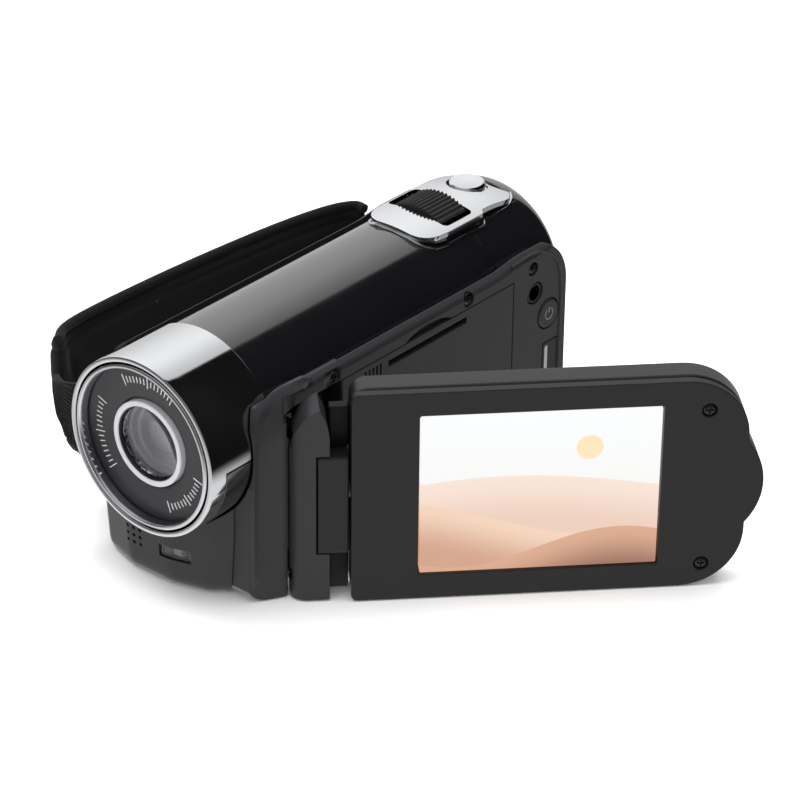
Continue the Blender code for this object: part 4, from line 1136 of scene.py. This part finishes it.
@dataclass
class ScreenUnit:
    """Hinge column, swivel block and the screen panel."""

    near: float = 8.5
    far: float = 87.5
    low: float = 0.2
    high: float = 47.7
    front: float = -4.5
    back: float = 4.0
    bezel: float = 1.9
    gap: float = 0.3
    tab_reach: float = 3.4
    tab_half: float = 9.3
    screen: tuple[float, float, float, float] = (21.9, 70.2, 5.8, 42.4)
    column_r: float = 3.7
    column_top: float = 44.2
    block_z: Point = (11.4, 33.4)
    lug_z: tuple[Point, ...] = ((4.3, 6.7), (35.3, 37.7))

    def outline(self, inset: float = 0.0, corner: float = 1.5) -> list[Point]:
        """Outline of the panel with its thumb tab, drawn in by inset."""
        near, far = self.near + inset, self.far - inset
        low, high, middle = self.low + inset, self.high - inset, (self.low + self.high) / 2
        body = rounded([(near, low, corner), (far, low, 13.0 - inset),
                        (far, high, 13.0 - inset), (near, high, corner)], 14)
        if inset > 1.0:
            return body
        radius = (self.tab_reach ** 2 + self.tab_half ** 2) / (2 * self.tab_reach)
        sweep = math.asin(self.tab_half / radius)
        arc = [sweep * (k / 12 - 1) for k in range(25)]
        tab = [(far + self.tab_reach - radius * (1 - math.cos(a)), middle + radius * math.sin(a))
               for a in arc]
        split = next(i for i, p in enumerate(body) if p[1] > middle and p[0] > far - 1)
        return body[:split] + tab + body[split:]

    def build(self) -> None:
        """Make the panel's shells, the display and the hinge's moving parts."""
        place = along_panel()
        near, far, low, high = self.screen
        bezel = Maker.prism("screen_bezel", self.outline(), self.front, self.front + self.bezel,
                            Plane.XZ, place)
        Maker.combine(bezel, "DIFFERENCE",
                      Maker.prism("opening", rounded(rectangle(near, far, low, high, 0.5), 4),
                                  self.front - 2, self.front + 5, Plane.XZ, place))
        for z in SCREEN_SCREWS.values():
            well = Maker.lathe("well", [(0, -0.9), (1.55, -0.9), (1.55, 3), (0, 3)],
                               facing((SCREEN_SCREW_X, self.front, z), (0, -1, 0), place), 40)
            Maker.combine(bezel, "DIFFERENCE", well)
        Maker.soften(bezel, 0.35, 3, 50)
        fit(bezel, FRAME, Body.PANEL, Slot.SATIN, "lcd_bezel")

        start = self.front + self.bezel + self.gap
        shell = Maker.prism("screen_back_shell", self.outline(0.0, 3.4), start, self.back,
                            Plane.XZ, place)
        Maker.soften(shell, 1.0, 5, 50)
        Maker.combine(shell, "DIFFERENCE",
                      Maker.prism("room", self.outline(1.6), start - 2, self.back - 1.5,
                                  Plane.XZ, place),
                      Maker.lathe("bore", [(0, 0), (1.9, 0), (1.9, 4), (0, 4)],
                                  facing((self.near - 1, -0.2, 23.9), (1, 0, 0), place), 40))
        fit(shell, BACK, Body.PANEL, Slot.GLOSS, "lcd_back_shell")

        glass = Maker.prism("screen_display", rounded(rectangle(
            near + self.gap, far - self.gap, low + self.gap, high - self.gap, 0.3), 3),
            self.front + 0.35, self.front + 3.6, Plane.XZ, place)
        fit(glass, DUNES, Body.PANEL, Slot.SCREEN, "lcd_display")
        self.build_column(place)

    def build_column(self, place: Matrix) -> None:
        """Arched hinge column and the block that the panel swivels in."""
        r = self.column_r
        plan = [(4.3, -r)] + [(-r * math.sin(math.pi * k / 28), -r * math.cos(math.pi * k / 28))
                              for k in range(29)] + [(4.3, r)]
        column = Maker.prism("hinge_column_skin", plan[::-1], 0.4, self.column_top + 1,
                             Plane.XY, place)
        front_side = smooth_path([(4.5, 34.5), (4.3, 37.6), (3.7, 41.2), (2.3, self.column_top)], 5)
        rear_side = smooth_path([(2.3, self.column_top), (-0.6, 42.3), (-2.9, 37.8),
                                 (-r - 0.2, 31.5)], 6)
        arch = [(-r - 2, -2), (4.6, -2), *[(p.x, p.y) for p in front_side],
                *[(p.x, p.y) for p in rear_side[1:]], (-r - 2, 31.0)]
        Maker.combine(column, "INTERSECT", Maker.prism("arch", arch, -10, 10, Plane.XZ, place))
        z0, z1 = self.block_z
        Maker.combine(column, "DIFFERENCE", Maker.prism(
            "notch", [(1.6, -8), (9, -8), (9, 8), (1.6, 8)], z0 - self.gap, z1 + self.gap,
            Plane.XY, place))
        for low, high in self.lug_z:
            Maker.combine(column, "DIFFERENCE", Maker.prism(
                "lug", [(-8, -2), (2, -2), (2, 8), (-8, 8)], low - self.gap, high + self.gap,
                Plane.XY, place))
        Maker.combine(column, "DIFFERENCE", Maker.lathe(
            "bore", [(0, -2), (1.5, -2), (1.5, 40), (0, 40)], place, 40))
        for start in (33.7, 7.0):
            Maker.combine(column, "DIFFERENCE", Maker.lathe(
                "seat", [(0, start), (2.5, start), (2.5, start + 1.45), (0, start + 1.45)],
                place, 40))
        fit(Maker.soften(column, 0.25, 2, 50), SATIN, Body.ARM, Slot.SATIN, "hinge_column")
        block = Maker.prism("swivel_block_skin", rounded([(1.9, -3.9, 0.5), (8.1, -3.9, 0.5),
                                                          (8.1, 3.4, 0.5), (1.9, 3.4, 0.5)], 4),
                            z0, z1, Plane.XY, place)
        Maker.combine(block, "DIFFERENCE", Maker.lathe(
            "bore", [(0, 0), (1.9, 0), (1.9, 12), (0, 12)],
            facing((0, -0.2, 23.9), (1, 0, 0), place), 40))
        fit(Maker.soften(block, 0.35, 3, 60), FRAME, Body.ARM, Slot.SATIN, "swivel_block")
        # The covers above and below the swivel block take the near-black finish as painted shade,
        # so the pocket there stays dark although it is open to the light.
        for name, low, high in (("hinge_cover_lower", 0.6, z0 - 0.2),
                                ("hinge_cover_upper", z1 + 0.2, 42.6)):
            cover = Maker.prism(name, rounded(rectangle(4.45, 8.4, 0.4, 2.9, 0.4), 4), low, high,
                                Plane.XY, place)
            fit(Maker.soften(cover, 0.3, 2, 60), PAINTED_SHADE_COVE, Body.ARM, Slot.MATTE)


@dataclass
class Fasteners:
    """Cross-recess screws of the case and of the screen."""

    head: float = 1.3
    shank: float = 0.7
    side_x: float = 19.6
    case: dict[str, Point] = field(default_factory=lambda: dict(SIDE_SCREWS))
    screen: dict[str, float] = field(default_factory=lambda: dict(SCREEN_SCREWS))

    def build(self) -> None:
        """Make all five screws."""
        for node, (y, z) in self.case.items():
            self.screw(node, facing((self.side_x, y, z), (1, 0, 0)), 2.5, Body.CASE)
        for node, z in self.screen.items():
            self.screw(node, facing((SCREEN_SCREW_X, -4.4, z), (0, -1, 0), along_panel()), 4.0,
                       Body.PANEL)

    def screw(self, node: str, place: Matrix, length: float, body: Body) -> None:
        """One screw with a domed head and a cross recess."""
        crown = [(self.head * math.sin(math.radians(a)), -0.32 * (1 - math.cos(math.radians(a))))
                 for a in (0, 20, 40, 60, 80, 90)]
        screw = Maker.lathe(node + "_head", [*crown, (self.head, -0.6), (self.shank, -0.6),
                                             (self.shank, -length), (0, -length)], place, 48)
        for u, v in ((0.78, 0.16), (0.16, 0.78)):
            Maker.combine(screw, "DIFFERENCE", Maker.prism(
                "slot", [(-u, -v), (u, -v), (u, v), (-u, v)], -0.5, 1.0, Plane.XY, place))
        fit(screw, DARK_STEEL, body, Slot.STEEL, node)


@dataclass
class CaseSkin:
    """Both side shells, the hinge fairing, and the cover under the lens."""

    side_x: float = SIDE_X
    front: float = -43.6
    rear: float = 54.5
    bottom: float = 0.4
    base_half: float = 11.7
    corner: float = 6.0
    wall: float = 1.6
    gap: float = 0.3
    rim: float = 46.7
    speaker: tuple[Point, ...] = tuple((12.0 + 3.0 * k, 20.0 + 3.0 * j)
                                       for k in range(3) for j in range(2))
    arch_r: float = 9.6
    arch_top: float = 46.0
    roof: float = 1.5
    door: tuple[float, float, float, float] = (-17.4, 36.5, 7.0, 40.7)
    port: tuple[float, float, float, float] = PORT_YZ
    jack: Point = (43.9, 35.5)
    power: Point = POWER_YZ
    screws: tuple[Point, ...] = tuple(SIDE_SCREWS.values())
    keel: tuple[Corner, ...] = ((-19.4, -43.9, 0), (-18.8, -47.6, 3.5), (-9.0, -50.6, 6.0),
                                (2.0, -50.4, 8.0), (11.0, -47.4, 4.0), (14.6, -43.9, 0))

    def block(self, x: Point, y: Point, z: Point) -> bpy.types.Object:
        """A plain box used for cutting."""
        return Maker.prism("block", [(x[0], y[0]), (x[1], y[0]), (x[1], y[1]), (x[0], y[1])], *z)

    def bore(self, y: float, z: float, radius: float, start: float) -> bpy.types.Object:
        """A round cutter through the side face."""
        return Maker.lathe("bore", [(0, 0), (radius, 0), (radius, 12), (0, 12)],
                           facing((start, y, z), (1, 0, 0)), 64)

    def section(self, y: float) -> list[Point]:
        """Half cross-section at a place along the case; its rim rises towards the rear."""
        share = min(1.0, max(0.0, (y - 30.0) / 10.0))
        rise = share * share * (3 - 2 * share)
        top, shoulder = 46.6 - 0.4 * rise, 2.8 - 1.4 * rise
        inner = self.base_half + self.gap
        return rounded([(inner, self.bottom, 0), (self.side_x, self.bottom, self.corner),
                        (self.side_x, top - shoulder, 1.5), (self.side_x - 1.6 * shoulder, top, 0),
                        (inner, top, 0)], 9)

    def build(self) -> None:
        """Make all three pieces."""
        self.build_shell()
        self.build_far_shell()
        self.build_keel()

    def outer(self, name: str, fairing: bool) -> bpy.types.Object:
        """The outside of a shell as one solid, its long edges rounded."""
        stops = [self.front, -23.0, -17.6, 0.0, 19.2, 24.6, 28.0, *[30.0 + k for k in range(11)],
                 45.8, self.rear]
        rings = [[Vector((x, y, z)) for x, z in self.section(y)] for y in stops]
        shell = Maker.loft(name, rings, turned=True)
        if fairing:
            Maker.combine(shell, "UNION", self.arch())
        low, high = self.bottom - 0.1, self.rim + 0.1
        side = [(self.front - 0.3, low, 3.0), (self.rear, low, 4.0), (self.rear, high, 12.0),
                (self.front - 0.3, high, 9.5)]
        Maker.combine(shell, "INTERSECT", Maker.prism("side", rounded(side, 16), -30, 30,
                                                      Plane.YZ))
        return Maker.soften(shell, 0.5, 3, 50)

    def arch(self) -> bpy.types.Object:
        """The fairing: up the front of the hinge pocket, over it in an arch, and into the side."""
        hy, front, turn = HINGE[1], self.front - 0.2, self.arch_top - self.arch_r
        inner_y, inner_r = hy - 2.7, 8.4
        under = self.arch_top - self.roof
        pairs = [((front, z), (inner_y, z)) for z in (self.bottom - 1, 12.0, 24.0, 32.0)]
        for k in range(17):
            a = math.radians(90 * k / 16)
            pairs.append(((front + self.arch_r * (1 - math.cos(a)),
                           turn + self.arch_r * math.sin(a)),
                          (inner_y + inner_r * (1 - math.cos(a)),
                           under - inner_r + inner_r * math.sin(a))))
        pairs += [((y - lead, self.arch_top - fall), (y, under - fall))
                  for y, lead, fall in ((-26.7, 1.7, 0.2), (-25.8, 0.8, 0.8), (-25.0, 0.3, 1.7),
                                        (-24.2, 0.1, 2.7))]
        rings = []
        for outer, inner in pairs:
            share = min(1.0, max(0.0, (inner[0] + 33.5) / 8.5))
            proud = 22.3 - 2.9 * share * share * (3 - 2 * share)
            ring = [(12.5, outer, inner, 0.0), (18.2, outer, inner, 0.0),
                    (18.9, outer, inner, 0.08), (proud - 0.35, outer, inner, 0.72),
                    (proud, outer, inner, 0.88), (proud, outer, inner, 1.0),
                    (12.5, outer, inner, 1.0)]
            rings.append([Vector((x, a[0] + (b[0] - a[0]) * t, a[1] + (b[1] - a[1]) * t))
                          for x, a, b, t in ring])
        return Maker.loft("arch", rings)

    def build_far_shell(self) -> None:
        """The strap-side shell: the same shape without the fairing, mirrored, with its grille."""
        shell = self.outer("strap_side_shell", False)
        inside = self.hollow()
        holes = [self.bore(y, z, 0.8, self.side_x - 4) for y, z in self.speaker]
        Maker.combine(shell, "DIFFERENCE", inside, *self.barrels(), *holes)
        bm = bmesh.new()
        bm.from_mesh(shell.data)
        bmesh.ops.scale(bm, vec=(-1, 1, 1), verts=bm.verts)
        bmesh.ops.reverse_faces(bm, faces=bm.faces)
        bm.to_mesh(shell.data)
        bm.free()
        fit(shell, SATIN, Body.CASE, Slot.SATIN, "body_left_shell")

    def hollow(self) -> bpy.types.Object:
        """The room inside a shell, open to the rear and to the middle."""
        inset, floor = self.side_x - self.wall, self.bottom + self.wall
        return Maker.prism("inside", rounded([(-1, floor, 0), (inset, floor,
                                                               self.corner - self.wall),
                                              (inset, 50.2, 0), (-1, 50.2, 0)], 6),
                           self.front + self.wall, self.rear + 2, Plane.XZ)

    def barrels(self) -> list[bpy.types.Object]:
        """Cutters that keep the shells clear of the barrel and the rear cap."""
        return [Maker.lathe("barrel", [(0, start), (r, start), (r, stop), (0, stop)],
                            about_lens(), 128)
                for r, start, stop in ((19.1, -70, 40), (19.6, 36.3, 60))]

    def build_shell(self) -> None:
        """The shell with its pocket, bays and holes."""
        shell = self.outer("screen_side_shell", True)
        hx, hy = HINGE
        inside = self.hollow()
        Maker.combine(inside, "DIFFERENCE",
                      self.block((14.6, 30), (self.front + 1.0, -16.2), (2.0, 43.9)))
        pocket = Maker.prism("pocket", rounded([(hy - 2.9, 2.4, 0.5), (-17.8, 2.4, 0.5), (
            -17.8, 41.0, 0.5), (hy - 2.9, 41.0, 5.0)], 6), self.side_x - 3.2, self.side_x + 12,
            Plane.YZ)
        roof = self.arch_top - self.roof + 0.05
        column = Maker.lathe("column", [(0, -2), (4.1, -2), (4.1, 40), (4.7, 40), (4.7, roof),
                                        (0, roof)],
                             facing((hx, hy, 0), (0, 0, 1)), 64)
        y0, y1, z0, z1 = self.door
        doors = self.block((self.side_x - 5, 25), (y0 - self.gap, y1 + self.gap),
                           (z0 - self.gap, z1 + self.gap))
        nail = Maker.lathe("nail", [(0, 0), (17.0, 0), (17.0, 4), (0, 4)],
                           facing((self.side_x - 1.0, 9.1, z1 + 2.0 - 17.0), (1, 0, 0)), 160)
        y0, y1, z0, z1 = self.port
        ports = self.block((self.side_x - 5, 25), (y0 - self.gap, y1 + self.gap),
                           (z0 - self.gap, z1 + self.gap))
        cuts = [inside, pocket, column, *self.barrels(), doors, nail, ports,
                self.bore(*self.jack, 2.6, self.side_x - 5),
                self.bore(*self.power, 3.6, self.side_x - 5)]
        for y, z in self.screws:
            cuts += [self.bore(y, z, 1.6, self.side_x - 1.0), self.bore(y, z, 1.0,
                                                                        self.side_x - 5)]
        Maker.combine(shell, "DIFFERENCE", *cuts)
        fit(shell, SATIN, Body.CASE, Slot.SATIN, "body_right_shell")

    def build_keel(self) -> None:
        """The cover under the lens, tapering to a rounded foot, with its microphone holes."""
        outline = rounded(self.keel, 8)
        rings = []
        for z in (0.0, 0.15, 0.5, 1.1, 1.9, 2.8, 4.0, 7.0, 11.0, 15.0, 22.0):
            turn = max(0.0, 1 - z / 2.8)
            inset = 2.6 * (1 - math.sqrt(max(0.0, 1 - turn * turn))) + 1.0 * max(0.0, 1 - z / 15)
            rings.append([Vector((-2.4 + (x + 2.4) * (1 - inset / 17.0),
                                  -43.9 + (y + 43.9) * (1 - inset / 9.0), z))
                          for x, y in outline])
        keel = Maker.loft("lens_keel_cover", rings)
        room = rounded([(-15.5, -42.6, 0), (-15.3, -45.6, 2.5), (-8.0, -47.9, 5.0),
                        (1.7, -47.8, 7.0), (9.4, -45.4, 3.0), (11.0, -42.6, 0)], 6)
        cuts = [Maker.prism("room", room, 3.4, 30.0),
                Maker.lathe("cradle", [(0, 30), (19.6, 30), (19.6, 60), (0, 60)], about_lens(),
                            128),
                self.block((-0.5, 6.7), (-54, -46), (6.5, 9.4))]
        for k in range(9):
            cuts.append(Maker.lathe("hole", [(0, 0), (0.42, 0), (0.42, 8), (0, 8)], facing(
                (-7.3 + 1.7 * (k % 3 - 1), -54, 8.6 + 1.7 * (k // 3 - 1)), (0, 1, 0)), 20))
        Maker.combine(keel, "DIFFERENCE", *cuts)
        fit(keel, SATIN, Body.CASE, Slot.SATIN, "front_lower_cover")
        face = [(-0.2 + 6.6 * k / 8, self.keel_front(outline, -0.2 + 6.6 * k / 8) + 0.75)
                for k in range(9)]
        pane = Maker.prism("lamp_window_pane", face + [(x, y + 0.9) for x, y in face[::-1]],
                           6.8, 9.1)
        fit(Maker.soften(pane, 0.12, 2, 50), WINDOW, Body.CASE, Slot.GLASS, "lamp_window")

    @staticmethod
    def keel_front(outline: Sequence[Point], x: float) -> float:
        """Where the front of an outline lies at a given x."""
        spots = [(a, b) for a, b in zip(outline, outline[1:])
                 if min(a[0], b[0]) <= x <= max(a[0], b[0]) and a[0] != b[0]]
        return min(a[1] + (b[1] - a[1]) * (x - a[0]) / (b[0] - a[0]) for a, b in spots)


@dataclass
class CaseDetails:
    """Raised bead round the rear corner, power symbol, and a silver strip along the port cover's
    edge as a painted highlight.
    """

    side_x: float = SIDE_X
    power: Point = POWER_YZ
    port: tuple[float, float, float, float] = PORT_YZ

    def build(self) -> None:
        """Make the small details on the screen side."""
        bead = smooth_path([(self.side_x, 35.8, 44.9), (self.side_x, 40.5, 45.3),
                            (self.side_x, 45.0, 44.9), (self.side_x, 49.3, 42.6),
                            (self.side_x, 51.8, 38.8), (self.side_x, 52.6, 34.0),
                            (self.side_x, 52.6, 26.0), (self.side_x, 52.6, 14.0)], 6)
        fit(Maker.tube("rear_corner_bead", [bead], 0.28, sides=8), SATIN, Body.CASE, Slot.SATIN)
        y, z = self.power
        ring = [Vector((self.side_x + 0.24, y + 1.25 * math.sin(a), z + 1.25 * math.cos(a)))
                for a in [math.radians(35 + 290 * k / 24) for k in range(25)]]
        bar = [Vector((self.side_x + 0.24, y, z + 0.3)), Vector((self.side_x + 0.24, y, z + 1.6))]
        fit(Maker.tube("power_symbol", [ring, bar], 0.13, sides=6), LABEL, Body.POWER, Slot.LABEL)
        y0, _, z0, z1 = self.port
        # A silver strip along the rubber port cover's front edge, a painted highlight rather than
        # part of the cover.
        strip = Maker.prism("port_cover_highlight_strip", rounded(rectangle(
            y0 + 0.5, y0 + 1.5, z0 + 0.6, z1 - 0.6, 0.4), 4), self.side_x - 0.2,
            self.side_x + 0.12, Plane.YZ)
        fit(Maker.soften(strip, 0.08, 2, 60), HIGHLIGHT_SILVER, Body.PORT, Slot.STEEL)


@dataclass
class HandStrap:
    """Padded strap over the -X side, its stitching and binding, and the ribbed webbing."""

    route: tuple[Point, ...] = ((-31.5, -46.0), (-34.6, -40.5), (-35.2, -28.0), (-34.3, -6.0),
                                (-32.2, 17.0), (-29.6, 32.0), (-26.6, 38.6), (-23.4, 39.0))
    low: float = 11.5
    high: float = 43.0
    thick: float = 4.4
    web_route: tuple[Point, ...] = ((-29.9, -48.6), (-27.4, -49.6), (-24.4, -48.4),
                                    (-22.4, -44.6), (-22.0, -41.6))
    web_low: float = 15.5
    web_high: float = 36.5
    web_thick: float = 1.8
    voxel: float = 1.3
    cap: float = 0.55
    seam_inset: float = 3.4
    outward: float = 1.0
    web_rise: float = 17.0
    nose: float = 0.2
    nose_rise: float = 20.0

    def section(self, share: float, side: float) -> float:
        """Half thickness at a height, from -1 at the lower edge to 1 at the upper edge."""
        crown = max(0.0, 1 - abs(share) ** 3.2) ** 0.5
        return side * (self.thick / 2 - 0.35) * (0.25 + 0.75 * crown)

    def foot(self, share: float) -> float:
        """Height of the lower edge at a share of the strap's length; it rises at the front."""
        near = max(0.0, 1 - share / self.nose)
        return self.low + self.nose_rise * near * near * (3 - 2 * near)

    def stations(self, steps: int = 9) -> tuple[list[Vector], list[Vector]]:
        """Points along the strap and the direction across it at each."""
        path = smooth_path(self.route, steps)
        across = []
        for i in range(len(path)):
            way = (path[min(i + 1, len(path) - 1)] - path[max(i - 1, 0)]).normalized()
            across.append(Vector((-way.y, way.x)))
        return path, across

    def build(self) -> None:
        """Make the pad, its sewing, and the webbing."""
        pad = self.pad_form()
        self.inflate(pad)
        step = pad.modifiers.new("finer", "SUBSURF")
        step.levels = step.render_levels = 1
        Maker.settle(pad)
        self.sew(pad)
        fit(pad, SUEDE, Body.CASE, Slot.FABRIC, "strap_pad")
        pad.data.shade_smooth()
        self.build_sewing()
        self.build_webbing()

    def pad_form(self) -> bpy.types.Object:
        """The closed crowned form that the fabric starts from."""
        path, across = self.stations()
        shares = [math.sin(math.pi * (k / 14 - 0.5)) for k in range(15)]
        rings = []
        for i, (spot, side) in enumerate(zip(path, across)):
            end = min(i, len(path) - 1 - i)
            slim = min(1.0, 0.55 + 0.15 * end)
            foot = self.foot(i / (len(path) - 1))
            middle, half = (foot + self.high) / 2, (self.high - foot) / 2 - 0.5
            ring = [(s, self.section(s, 1) * slim) for s in shares]
            ring += [(s, self.section(s, -1) * slim) for s in reversed(shares)]
            rings.append([Vector((*(spot + side * t), middle + s * half)) for s, t in ring])
        pad = Maker.loft("hand_strap_pad", rings)
        step = pad.modifiers.new("even", "REMESH")
        step.mode, step.voxel_size = "VOXEL", self.voxel * MM
        return Maker.settle(pad)

    def inflate(self, pad: bpy.types.Object) -> None:
        """Fill the pad by cloth simulation and hold each point near where it began."""
        before = [v.co.copy() for v in pad.data.vertices]
        step = pad.modifiers.new("cloth", "CLOTH")
        cloth = step.settings
        cloth.quality = 5
        cloth.use_pressure = True
        cloth.uniform_pressure_force = 4.0
        cloth.effector_weights.gravity = 0.0
        scene = bpy.context.scene
        for number in range(1, 21):
            scene.frame_set(number)
        graph = bpy.context.evaluated_depsgraph_get()
        mesh = bpy.data.meshes.new_from_object(pad.evaluated_get(graph))
        pad.modifiers.clear()
        pad.data = mesh
        for vertex, start in zip(mesh.vertices, before):
            move = vertex.co - start
            if move.length > self.cap * MM:
                vertex.co = start + move.normalized() * self.cap * MM
        scene.frame_set(1)

    def sew(self, pad: bpy.types.Object) -> None:
        """Press the sewn channels into both faces."""
        for vertex in pad.data.vertices:
            z = vertex.co.z / MM
            away = abs(z - self.high + self.seam_inset)
            if vertex.co.y / MM > -28.0:
                away = min(away, abs(z - self.low - self.seam_inset))
            if away < 1.6:
                press = 0.42 * math.exp(-(away / 0.6) ** 2) * MM
                vertex.co -= vertex.normal * press

    def build_sewing(self) -> None:
        """Stitches in the channels, and the rolled binding along both edges."""
        path, across = self.stations(12)
        middle, half = (self.low + self.high) / 2, (self.high - self.low) / 2 - 0.5
        stitches = []
        for z in (self.low + self.seam_inset, self.high - self.seam_inset):
            out = self.section((z - middle) / half, 1) + 0.12
            for k in range(3 if z > middle else round(self.nose * len(path)), len(path) - 4, 2):
                ends = [Vector((*(path[j] + across[j] * self.outward * out), z))
                        for j in (k, k + 1)]
                stitches.append([ends[0].lerp(ends[1], 0.12), ends[0].lerp(ends[1], 0.88)])
        fit(Maker.tube("strap_stitching", stitches, 0.2, sides=6), THREAD, Body.CASE, Slot.FABRIC)
        last = len(path) - 1
        runs = [[Vector((*path[i], self.foot(i / last) + 0.55)) for i in range(1, last)],
                [Vector((*path[i], self.high - 0.55)) for i in range(1, last)]]
        fit(Maker.tube("strap_binding", runs, 1.05, sides=14), SUEDE, Body.CASE, Slot.FABRIC)

    def build_webbing(self) -> None:
        """Ribbed nylon from the pad's front end round to the front lug."""
        path = smooth_path(self.web_route, 14)
        rows = 84
        rings = []
        for i, spot in enumerate(path):
            way = (path[min(i + 1, len(path) - 1)] - path[max(i - 1, 0)]).normalized()
            side = Vector((-way.y, way.x))
            ring = []
            for face in (1, -1):
                order = range(rows + 1) if face > 0 else range(rows, -1, -1)
                for k in order:
                    foot = self.web_low + self.web_rise * max(0.0, 1 - 1.45 * i / len(path))
                    z = foot + (self.web_high - foot) * k / rows
                    edge = min(1.0, 0.45 + min(k, rows - k) * 0.18)
                    rib = 0.13 * math.sin(k * 2 * math.pi / 6 + i * 0.5)
                    t = face * (self.web_thick / 2 - 0.15 + rib) * edge
                    ring.append(Vector((*(spot + side * t), z)))
            rings.append(ring)
        web = Maker.loft("strap_webbing_ribbed", rings)
        fit(web, NYLON, Body.CASE, Slot.FABRIC, "strap_webbing")


@dataclass
class Studio:
    """Camera, pale floor and soft light."""

    eye: tuple[float, float, float] = (0.4413, -0.4968, 0.4078)
    right: tuple[float, float, float] = (0.75877621, 0.65127157, 0.01019821)
    up: tuple[float, float, float] = (-0.33432479, 0.37597873, 0.86421463)
    back: tuple[float, float, float] = (0.55900411, -0.65915502, 0.50301995)
    lens: float = 166.5

    def build(self) -> None:
        """Set up the whole studio."""
        self.build_camera()
        self.build_floor()
        self.build_lights()
        self.build_surround()

    def build_camera(self) -> None:
        """A long lens looking down on the front corner."""
        data = bpy.data.cameras.new("studio_camera")
        data.lens, data.sensor_width, data.clip_start = self.lens, 36.0, 0.01
        camera = bpy.data.objects.new("studio_camera", data)
        turn = Matrix((self.right, self.up, self.back)).transposed().to_4x4()
        camera.matrix_world = Matrix.Translation(self.eye) @ turn
        bpy.context.scene.collection.objects.link(camera)
        bpy.context.scene.camera = camera

    def build_floor(self) -> None:
        """A wide floor under the camcorder."""
        bm = bmesh.new()
        bmesh.ops.create_grid(bm, x_segments=8, y_segments=8, size=3.0)
        floor = Maker.adopt("studio_floor", bm, Matrix.Translation((0, 0, -0.00002)))
        dress(floor, PALE)
        floor.visible_glossy = False

    def build_lights(self) -> None:
        """A broad overhead panel and a weaker one from the front."""
        for name, spot, size, power in (("overhead", (-0.15, 0.1, 0.9), 1.1, 16.0),
                                        ("front_fill", (0.55, -0.75, 0.35), 0.6, 1.6)):
            data = bpy.data.lights.new(name, "AREA")
            data.shape, data.size, data.energy = "SQUARE", size, power
            lamp = bpy.data.objects.new(name, data)
            aim = Vector((0, 0, 0.02)) - Vector(spot)
            lamp.matrix_world = (Matrix.Translation(spot)
                                 @ aim.to_track_quat("-Z", "Y").to_matrix().to_4x4())
            lamp.visible_glossy = False
            bpy.context.scene.collection.objects.link(lamp)

    def build_surround(self) -> None:
        """White surround with a bright rear-left half and a dark rear-right for reflections."""
        world = bpy.data.worlds.new("studio_surround")
        world.use_nodes = True
        bpy.context.scene.world = world
        w = Wiring(world.node_tree)
        axes = w.node("SeparateXYZ")
        w.feed(axes.inputs[0], w.node("TexCoord").outputs["Generated"])
        x, y, z = axes.outputs
        behind = w.span(y, -0.12, 0.12, 0.0, 1.0)
        left = w.span(x, -0.07, -0.02, 1.0, 0.0)
        height = w.span(z, -0.2, 0.75, 0.62, 1.0)
        fall = w.span(x, -0.55, -0.02, 1.0, 0.6)
        rear = w.maths("ADD", w.maths("MULTIPLY", w.maths("MULTIPLY", left, height), fall),
                       w.span(z, -0.62, -0.33, 0.75, 0.006))
        below = w.span(z, -0.75, -0.05, 0.85, 0.10)
        strip = w.span(z, 0.55, 0.95, 0.0, 0.35)
        front = w.maths("ADD", below, strip)
        studio = w.maths("ADD", w.maths("MULTIPLY", behind, rear), w.maths(
            "MULTIPLY", w.maths("SUBTRACT", 1.0, behind), front))
        path = w.node("LightPath")
        value = w.maths("ADD", w.maths("MULTIPLY", path.outputs["Is Glossy Ray"], studio),
                        w.maths("MULTIPLY", w.maths("SUBTRACT", 1.0,
                                                    path.outputs["Is Glossy Ray"]), 0.75))
        value = w.maths("MAXIMUM", value, path.outputs["Is Camera Ray"])
        w.feed(world.node_tree.nodes["Background"].inputs["Strength"], value)
        world.node_tree.nodes["Background"].inputs["Color"].default_value = (1, 1, 1, 1)
        bpy.context.scene.view_settings.view_transform = "Standard"


def dress_carried() -> None:
    """Finish every CAD node that is carried over as it is."""
    for node, finish in CARRIED.items():
        dress(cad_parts[node], finish)
        LOG.info("%s: carried over with %s", node, finish.name)


def main() -> None:
    """Build the camcorder's look and the studio."""
    logging.basicConfig(level=logging.INFO, format="%(name)s: %(message)s")
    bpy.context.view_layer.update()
    Studio().build()
    dress_carried()
    for part in (LensGroup(), Barrel(), RearCap(), ControlTop(), CaseSkin(), ScreenUnit(),
                 Fasteners(), CaseDetails(), HandStrap()):
        part.build()
        LOG.info("finished %s", type(part).__name__)


if __name__ == "__main__":
    main()
